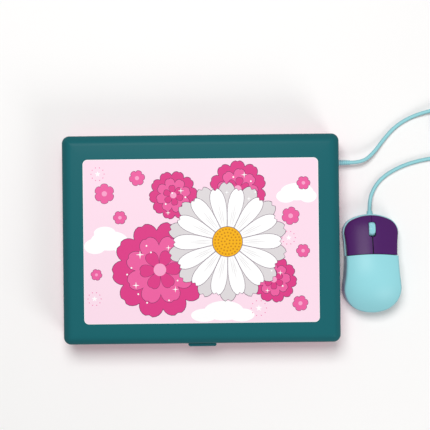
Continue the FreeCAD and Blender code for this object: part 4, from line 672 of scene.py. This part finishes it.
def print_ink(name, ink, plane, layer, body, draw):
    """One flat colour of a print, a hair above the film that carries it."""
    bm = bmesh.new()
    draw(bm)
    bmesh.ops.transform(bm, matrix=plane @ Matrix.Translation((0, 0, layer * ink_step)), verts=bm.verts)
    bm.normal_update()
    facing = plane.to_3x3() @ Vector((0, 0, 1))
    for face in bm.faces:
        if face.normal.dot(facing) < 0:
            face.normal_flip()
    mesh = bpy.data.meshes.new(name)
    bm.to_mesh(mesh)
    bm.free()
    mesh.materials.append(ink)
    piece = bpy.data.objects.new(name, mesh)
    scene.collection.objects.link(piece)
    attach(piece, body)


def rounded_panel(bm, width, depth, corner):
    """A flat rounded rectangle, millimetres, about the middle."""
    made = bmesh.ops.create_grid(bm, x_segments=1, y_segments=1, size=0.5)["verts"]
    bmesh.ops.transform(bm, matrix=Matrix.Diagonal((width * mm, depth * mm, 1, 1)), verts=made)
    bmesh.ops.bevel(bm, geom=made, offset=corner * mm, offset_type="OFFSET", affect="VERTICES",
                    segments=8, profile=0.5, material=-1)


inks = {name: shade(f"ink_{name}", code, roughness=0.4, mottle=0.015, specular=0.12) for name, code in {
    "ground": "#FBDCEB", "white": "#FFFFFF", "grey": "#DDD8DA", "plum": "#5B3458", "magenta": "#DC3F87",
    "rose": "#EC62A1", "blush": "#F7A3CA", "gold": "#F5B315", "amber": "#C98512"}.items()}
white_edge, ground_corner = 0.4, 4
ground_wide = (label_high.x - label_low.x) / mm - 2 * white_edge
ground_deep = (label_high.y - label_low.y) / mm - 2 * white_edge
# Places are in millimetres from the panel's middle, then comes a radius or two, and a peony's turn.
daisy, daisy_petals, daisy_notch = (24, -1), 14, 0.12
peonies = [(-38, -26, 44, 4), (34, 47, 26, 18), (-25, 42, 22, 40), (66, -36, 21, 30)]
buds = [(-88, 44, 9), (-74, 22, 6), (82, 22, 8), (93, -10, 6), (-96, -30, 5), (-58, 58, 7), (94, 52, 6),
        (90, -58, 7)]
clouds = [(-84, 1, 17, 9), (-97, -4, 10, 7), (-70, -4, 11, 7), (-88, 8, 10, 6), (62, 8, 12, 8),
          (88, 44, 15, 8), (78, 40, 9, 6), (98, 40, 8, 6), (20, -64, 18, 9), (2, -68, 12, 6),
          (36, -68, 12, 6)]
rings = [(-94, 62, 6), (80, 2, 6), (52, -62, 7), (-98, -52, 6)]
glints = [(-56, -12, 4), (-24, -44, 3), (-60, -40, 3.4), (-30, -6, 2.6), (-18, 46, 3), (-30, 26, 2.4),
          (40, 60, 3), (24, 44, 2.2), (44, 38, 2.4), (72, -30, 2.6), (60, -46, 2.2)]
specks = [(-50, -4), (-46, -10), (-64, -24), (-68, -30), (-58, -48), (-50, -56), (-30, -54), (-22, -36),
          (-14, 40), (-26, 44), (-32, 34), (30, 58), (46, 54), (50, 44), (38, 40), (74, -42), (64, -28),
          (56, -36)]
seed_rings = [(11.4, 24), (8.4, 18), (5.4, 11), (2.4, 5)]
dots_in_ring, dot_r, speck_r, seed_r = 10, 0.45, 0.8, 0.8
ring_star, bud_eye, peony_eye, disc_r = 0.45, 0.27, 0.13, 13.5
fine_line, thin_line, full_line, bold_line = 0.35, 0.4, 0.45, 0.5
outer_ring = {"inner": 0.2, "outer": 1, "width": 0.32, "count": 10}
middle_ring = {"inner": 0.1, "outer": 0.72, "width": 0.25, "count": 8, "turn": 20}
inner_ring = {"inner": 0.05, "outer": 0.42, "width": 0.16, "count": 6}


def draw_clouds(bm):
    for i, (x, y, long, wide) in enumerate(clouds):
        oval(bm, x, y, long, wide, level=i % 4)
    for x, y, r in rings:
        star(bm, x, y, ring_star * r)


def draw_ring_dots(bm):
    for x, y, r in rings:
        for i in range(dots_in_ring):
            angle = 2 * math.pi * i / dots_in_ring
            oval(bm, x + r * math.cos(angle), y + r * math.sin(angle), dot_r, points=10)


def all_peonies(inner, outer, width, count, turn=0, grow=0.0, notch=0.1):
    """A ring of petals of every peony, given as shares of each flower's radius."""
    def draw(bm):
        for x, y, r, spin in peonies:
            petals(bm, x, y, inner * r, outer * r, width * r, count, spin + turn, grow, notch)
    return draw


def all_buds(grow):
    def draw(bm):
        for x, y, r in buds:
            petals(bm, x, y, near=0.1 * r, far=r, wide=0.48 * r, count=6, turn=10 * r, grow=grow)
    return draw


def draw_flower_eyes(bm):
    for x, y, r in buds:
        oval(bm, x, y, bud_eye * r)
    for x, y, r, _ in peonies:
        oval(bm, x, y, peony_eye * r)


def back_petals(grow):
    return lambda bm: petals(bm, *daisy, near=10, far=55, wide=10.5, count=daisy_petals, turn=12.9,
                             grow=grow, notch=daisy_notch)


def front_petals(grow):
    return lambda bm: petals(bm, *daisy, near=9, far=50, wide=8.6, count=daisy_petals, grow=grow,
                             notch=daisy_notch)


def draw_ribs(bm):
    for i in range(daisy_petals):
        angle = math.radians(360 * i / daisy_petals)
        for reach, lean in ((27, 0.0), (22, 0.06), (22, -0.06)):
            across = daisy[0] + reach * math.cos(angle + lean)
            along = daisy[1] + reach * math.sin(angle + lean)
            oval(bm, across, along, long=8, wide=0.22, turn=math.degrees(angle + lean), points=10)


def daisy_disc(radius):
    return lambda bm: oval(bm, *daisy, radius, points=48)


def draw_seeds(bm):
    for ring, count in seed_rings:
        for i in range(count):
            angle = 2 * math.pi * (i + ring) / count
            across, along = ring * math.cos(angle), ring * math.sin(angle)
            oval(bm, daisy[0] + across, daisy[1] + along, seed_r, points=10)


def draw_glints(bm):
    for x, y, r in glints:
        star(bm, x, y, r, points=4, waist=0.2)
    for x, y in specks:
        oval(bm, x, y, speck_r, points=12)


label_print = [
    ("ground", "ground", lambda bm: rounded_panel(bm, ground_wide, ground_deep, ground_corner)),
    ("clouds", "white", draw_clouds),
    ("ring_dots", "rose", draw_ring_dots),
    ("bud_lines", "plum", all_buds(fine_line)),
    ("buds", "rose", all_buds(0)),
    ("outer_lines", "plum", all_peonies(**outer_ring, grow=bold_line)),
    ("outer_petals", "magenta", all_peonies(**outer_ring)),
    ("middle_lines", "plum", all_peonies(**middle_ring, grow=thin_line)),
    ("middle_petals", "rose", all_peonies(**middle_ring)),
    ("inner_lines", "plum", all_peonies(**inner_ring, grow=fine_line)),
    ("inner_petals", "magenta", all_peonies(**inner_ring)),
    ("flower_eyes", "blush", draw_flower_eyes),
    ("back_lines", "plum", back_petals(full_line)),
    ("back_petals", "grey", back_petals(0)),
    ("front_lines", "plum", front_petals(full_line)),
    ("front_petals", "white", front_petals(0)),
    ("ribs", "grey", draw_ribs),
    ("disc_line", "plum", daisy_disc(disc_r + bold_line)),
    ("disc", "gold", daisy_disc(disc_r)),
    ("seeds", "amber", draw_seeds),
    ("glints", "white", draw_glints)]
label_top = top_of("lid_label")
for layer, (name, ink, draw) in enumerate(label_print, 1):
    print_ink(f"label_{name}", inks[ink], label_top, layer, "lid", draw)

# Screen surround: a printed film in a recess of the lid frame, seen when the lid is up.
# Flowers on magenta, a pale band below, and a grey-aqua frame round the screen opening.
dress(shade("surround_print", "#C44893", roughness=0.4, mottle=0.02), "screen_surround")
surround_low, surround_high = corners_of("screen_surround")
surround_mid = (surround_low + surround_high) / 2
surround_wide = (surround_high.x - surround_low.x) / mm
surround_deep = (surround_high.y - surround_low.y) / mm
window_low, window_high = corners_of("lcd_window")
window_wide = (window_high.x - window_low.x) / mm
window_deep = (window_high.y - window_low.y) / mm
window_up = (surround_mid.y - (window_low.y + window_high.y) / 2) / mm
inks["band"] = shade("ink_band", "#F6B9D8", roughness=0.4, mottle=0.015)
inks["orchid"] = shade("ink_orchid", "#A955B5", roughness=0.4, mottle=0.015)
inks["frame"] = shade("ink_frame", "#B7CFD1", roughness=0.35, mottle=0.01)
surround_daisies = [(-80, 44, 22), (82, 30, 25), (-88, -8, 13), (86, -20, 12)]
surround_peonies = [(56, -52, 20), (-66, -54, 15), (-42, 62, 12), (40, 60, 14)]
orchid_cloud = [(0, 62, 34, 13), (-26, 56, 14, 11), (28, 54, 16, 11), (6, 70, 40, 7)]
surround_stars = [(-102, 66), (-58, 70), (-4, 64), (20, 70), (64, 66), (102, 62), (-102, 14), (-62, 12),
                  (62, 2), (102, 4), (-30, -44), (4, -52), (30, -42), (-96, -60), (94, -58)]
peony_ring = {"inner": 0.15, "outer": 1, "width": 0.36, "count": 8}
peony_middle = {"inner": 0.05, "outer": 0.5, "width": 0.2, "count": 6}
daisy_ring = {"inner": 0.15, "outer": 1, "width": 0.24}
star_r, disc_share = 2.2, 0.26
band_deep, band_margin, band_corner = 0.25 * surround_deep, 1, 4
scallops, scallop_margin, scallop_long, scallop_high = 9, 8, surround_wide / 15, 7
frame_over, frame_corner, frame_border = 12, 6, 5.5


def facing_down(height):
    """A plane under the surround's middle, at that height, that faces down while the lid is shut."""
    return Matrix.Translation((surround_mid.x, surround_mid.y, height)) @ Matrix.Rotation(math.pi, 4, "X")


def open_middle(bm, border):
    """Leaves only a border of what is drawn, that many millimetres wide."""
    middle = bm.faces[:]
    bmesh.ops.inset_region(bm, faces=middle, thickness=border * mm, use_boundary=True,
                           use_even_offset=True)
    bmesh.ops.delete(bm, geom=middle, context="FACES")


def panel_ring(over, corner, border):
    """A rounded frame, that much larger than the window."""
    def draw(bm):
        rounded_panel(bm, window_wide + over, window_deep + over, corner)
        open_middle(bm, border)
        bmesh.ops.translate(bm, vec=(0, window_up * mm, 0), verts=bm.verts)
    return draw


def draw_band(bm):
    rounded_panel(bm, surround_wide - band_margin, band_deep, band_corner)
    band_up = (band_deep - surround_deep + band_margin) / 2
    bmesh.ops.translate(bm, vec=(0, band_up * mm, 0), verts=bm.verts)
    for i in range(scallops):
        across = (i - scallops // 2) / scallops * (surround_wide - scallop_margin)
        oval(bm, across, band_deep - surround_deep / 2, scallop_long, scallop_high, level=1 + i % 2)


def draw_orchid(bm):
    for i, (x, y, long, wide) in enumerate(orchid_cloud):
        oval(bm, x, y, long, wide, level=i)


def draw_daisies(inner, outer, width, grow=0.0):
    def draw(bm):
        for x, y, r in surround_daisies:
            petals(bm, x, y, inner * r, outer * r, width * r, count=12, turn=7, grow=grow, notch=0.1)
    return draw


def draw_peonies(inner, outer, width, count, grow=0.0):
    def draw(bm):
        for x, y, r in surround_peonies:
            petals(bm, x, y, inner * r, outer * r, width * r, count, turn=11, grow=grow, notch=0.1)
    return draw


def draw_daisy_discs(bm):
    for x, y, r in surround_daisies:
        oval(bm, x, y, disc_share * r)


def draw_surround_stars(bm):
    for x, y in surround_stars:
        star(bm, x, y, star_r)


surround_print = [
    ("orchid", "orchid", draw_orchid),
    ("band", "band", draw_band),
    ("stars", "white", draw_surround_stars),
    ("peony_lines", "plum", draw_peonies(**peony_ring, grow=thin_line)),
    ("peony_petals", "rose", draw_peonies(**peony_ring)),
    ("peony_middles", "magenta", draw_peonies(**peony_middle)),
    ("daisy_lines", "plum", draw_daisies(**daisy_ring, grow=thin_line)),
    ("daisy_petals", "white", draw_daisies(**daisy_ring)),
    ("daisy_discs", "gold", draw_daisy_discs),
    ("frame", "frame", panel_ring(frame_over, frame_corner, frame_border))]
surround_face = facing_down(surround_low.z)
for layer, (name, ink, draw) in enumerate(surround_print, 1):
    print_ink(f"surround_{name}", inks[ink], surround_face, layer, "lid", draw)

# Display: a grey-green dot display behind a clear window, with a dark mask round the dots.
# It is switched off, so only the fine grid between its dots shows.
dot_pitch, dot_gap = 0.9, 0.09
mask_over, mask_corner, mask_border = 3, 3, 8
display_grey, nodes, links = new_material("display_grey")
dot_grid = nodes.new("ShaderNodeTexBrick")
dot_grid.offset = 0
dot_grid.inputs["Color1"].default_value = linear("#9FB09E")
dot_grid.inputs["Color2"].default_value = linear("#99AA99")
dot_grid.inputs["Mortar"].default_value = linear("#B2C0AE")
dot_grid.inputs["Scale"].default_value = 1 / mm
dot_grid.inputs["Mortar Size"].default_value = dot_gap
dot_grid.inputs["Brick Width"].default_value = dot_pitch
dot_grid.inputs["Row Height"].default_value = dot_pitch
links.new(nodes.new("ShaderNodeTexCoord").outputs["Object"], dot_grid.inputs["Vector"])
links.new(dot_grid.outputs["Color"], nodes["Principled BSDF"].inputs["Base Color"])
nodes["Principled BSDF"].inputs["Roughness"].default_value = 0.3
dress(display_grey, "lcd_panel")
inks["mask"] = shade("ink_mask", "#52625D", roughness=0.3, mottle=0.01)
mask_face = facing_down(corners_of("lcd_panel")[0].z)
print_ink("display_mask", inks["mask"], mask_face, 1, "lid",
          panel_ring(mask_over, mask_corner, mask_border))
clear_window = shade("clear_window", "#EAF2EF", roughness=0.1, mottle=0.01)
clear_window.node_tree.nodes["Principled BSDF"].inputs["Alpha"].default_value = 0.14
dress(clear_window, "lcd_window")

# Key legends: white letters, numbers and simple signs, printed on the tops of the keys.
# Those of the rubber keys lie on the keypad, and each hard key carries its own.
inks["legend"] = shade("ink_legend", "#FBF7FC", roughness=0.45, mottle=0.01)
key_pitch, row_pitch, first_key, first_row, letter_high = 15, 13.5, -90, 58, 7
letter_rows = [("1234567890", 0), ("QWERTYUIOP", 0.3), ("ASDFGHJKL", 0.6), ("ZXCVBNM", 1.1)]


def letter(bm, sign, x, y):
    """One letter or number, as a flat mesh."""
    curve = bpy.data.curves.new("letter", "FONT")
    curve.body = sign
    curve.align_x = "CENTER"
    curve.align_y = "CENTER"
    curve.size = letter_high * mm
    curve.resolution_u = 3
    mesh = mesh_of(bpy.data.objects.new("letter", curve))
    mesh.transform(Matrix.Translation((x * mm, y * mm, 0)))
    bm.from_mesh(mesh)
    bpy.data.meshes.remove(mesh)


def draw_letters(bm):
    for row, (signs, shift) in enumerate(letter_rows):
        for i, sign in enumerate(signs):
            letter(bm, sign, first_key + (i + shift) * key_pitch, first_row - row * row_pitch)


def bar(bm, x, y, long, wide, turn=0):
    """A flat rectangle."""
    made = bmesh.ops.create_grid(bm, x_segments=1, y_segments=1, size=1)["verts"]
    lay(made, x, y, turn, long / 2, wide / 2)


def arrow(turn):
    return lambda bm: oval(bm, 0, 0, 3, turn=turn, points=3)


def draw_enter(bm):
    oval(bm, -5.3, -0.6, 2.2, turn=90, points=3)
    bar(bm, -0.1, -0.6, 8.2, 0.9)
    bar(bm, 3.55, 1.15, 0.9, 2.6)


def draw_on(bm):
    oval(bm, 0, 0, 2.6)


def draw_off(bm):
    draw_on(bm)
    open_middle(bm, 0.8)


def draw_plus(bm):
    bar(bm, 0, 0, 5, 1.5)
    bar(bm, 0, 1.625, 1.5, 1.75)
    bar(bm, 0, -1.625, 1.5, 1.75)


def draw_note(bm):
    oval(bm, -1, -1.6, 1.5, 1.1, turn=20)
    bar(bm, 0.45, 0.4, 0.5, 3.6)
    bar(bm, 1.1, 1.8, 0.8, 0.8)


def draw_steps(bm):
    for i in range(3):
        bar(bm, 2 * (i - 1), 0.7 * i - 1, 1.4, 1.4 + 1.4 * i)


def draw_pips(bm):
    for x, y in ((-1.7, 1.2), (1.7, 1.2), (0, 0), (-1.7, -1.2), (1.7, -1.2)):
        oval(bm, x, y, 0.8, points=16)


key_signs = {
    "key_up": arrow(0),
    "key_left": arrow(90),
    "key_right": arrow(-90),
    "key_down": arrow(180),
    "key_enter": draw_enter,
    "key_on": draw_on,
    "key_off": draw_off,
    "activity_key_1": lambda bm: star(bm, 0, 0, 2.8),
    "activity_key_2": lambda bm: bar(bm, 0, 0, 4, 4),
    "activity_key_3": draw_plus,
    "activity_key_4": draw_note,
    "activity_key_5": draw_pips,
    "activity_key_6": draw_steps,
    "activity_key_7": lambda bm: bar(bm, 0, 0, 3.6, 3.6, turn=45),
    "activity_key_8": lambda bm: oval(bm, 0, -0.4, 2.8, points=3)}
base_low, base_high = corners_of("base_bottom_shell")
base_mid = (base_low + base_high) / 2
keypad_top = Matrix.Translation((base_mid.x, base_mid.y, corners_of("keypad_mat")[1].z))
print_ink("keypad_letters", inks["legend"], keypad_top, 1, "base", draw_letters)
for name, draw in key_signs.items():
    print_ink(f"{name}_sign", inks["legend"], top_of(name), 1, name, draw)

# Mouse housing: a lower shell and a palm cover moulded in aqua, screwed together, and two sprung buttons
# in purple. Underneath it has a clear lens for the sensor and smooth pads that it glides on.
mouse_purple = shade("mouse_purple", "#4E2264", roughness=0.25, grain=0.03, fineness=1800, specular=0.09)
dress(mouse_purple, "mouse_left_button", "mouse_right_button")
mouse_aqua = shade("mouse_aqua", "#A8E4EC", roughness=0.36, grain=0.03, fineness=1800, specular=0.2)
dress(mouse_aqua, "mouse_bottom_shell")
dress(pale_aqua, "mouse_palm_cover")
dress(clear_window, "mouse_sensor_lens")
dress(shade("glide_pad", "#DADDDD", roughness=0.5), "mouse_glide_pads")

# Wheel: an aqua wheel moulded in one with its axle, which turns in ribs of the lower shell.
# Its tread has fine cross ribs, and its sides are dished.
wheel_aqua = shade("wheel_aqua", "#9AD8E3", roughness=0.4)
wheel_low, wheel_high = corners_of("mouse_wheel")
wheel_mid = (wheel_low + wheel_high) / 2
wheel_r = (wheel_high.z - wheel_low.z) / 2
axle_r, axle_half, hub_half = 0.0012, (wheel_high.x - wheel_low.x) / 2, 0.0029
wheel_side = [(-0.0026, 0.7), (-0.003, 0.76), (-0.0029, 0.86), (-0.002, 0.98)]
tread_ribs, steps_per_rib, rib_width, tread_share, groove_ratio = 32, 4, 0.4, 0.9, 0.94
wheel_outline = [(-axle_half, 0), (-axle_half, axle_r), (-hub_half, axle_r)]
wheel_outline += [(along, share * wheel_r) for along, share in wheel_side]
wheel_outline += [(0, wheel_r)] + [(-along, out) for along, out in reversed(wheel_outline)]
bm = turned(wheel_outline, steps_per_rib * tread_ribs, closed=False)
for v in bm.verts:
    out = math.hypot(v.co.y, v.co.z)
    rib = math.atan2(v.co.y, v.co.z) / (2 * math.pi) * tread_ribs
    if out > tread_share * wheel_r and rib % 1 > rib_width:
        v.co.y *= groove_ratio
        v.co.z *= groove_ratio
bmesh.ops.translate(bm, vec=wheel_mid, verts=bm.verts)
finish_piece("ribbed_wheel", bm, wheel_aqua, "wheel", "wheel_aqua", "mouse_wheel")
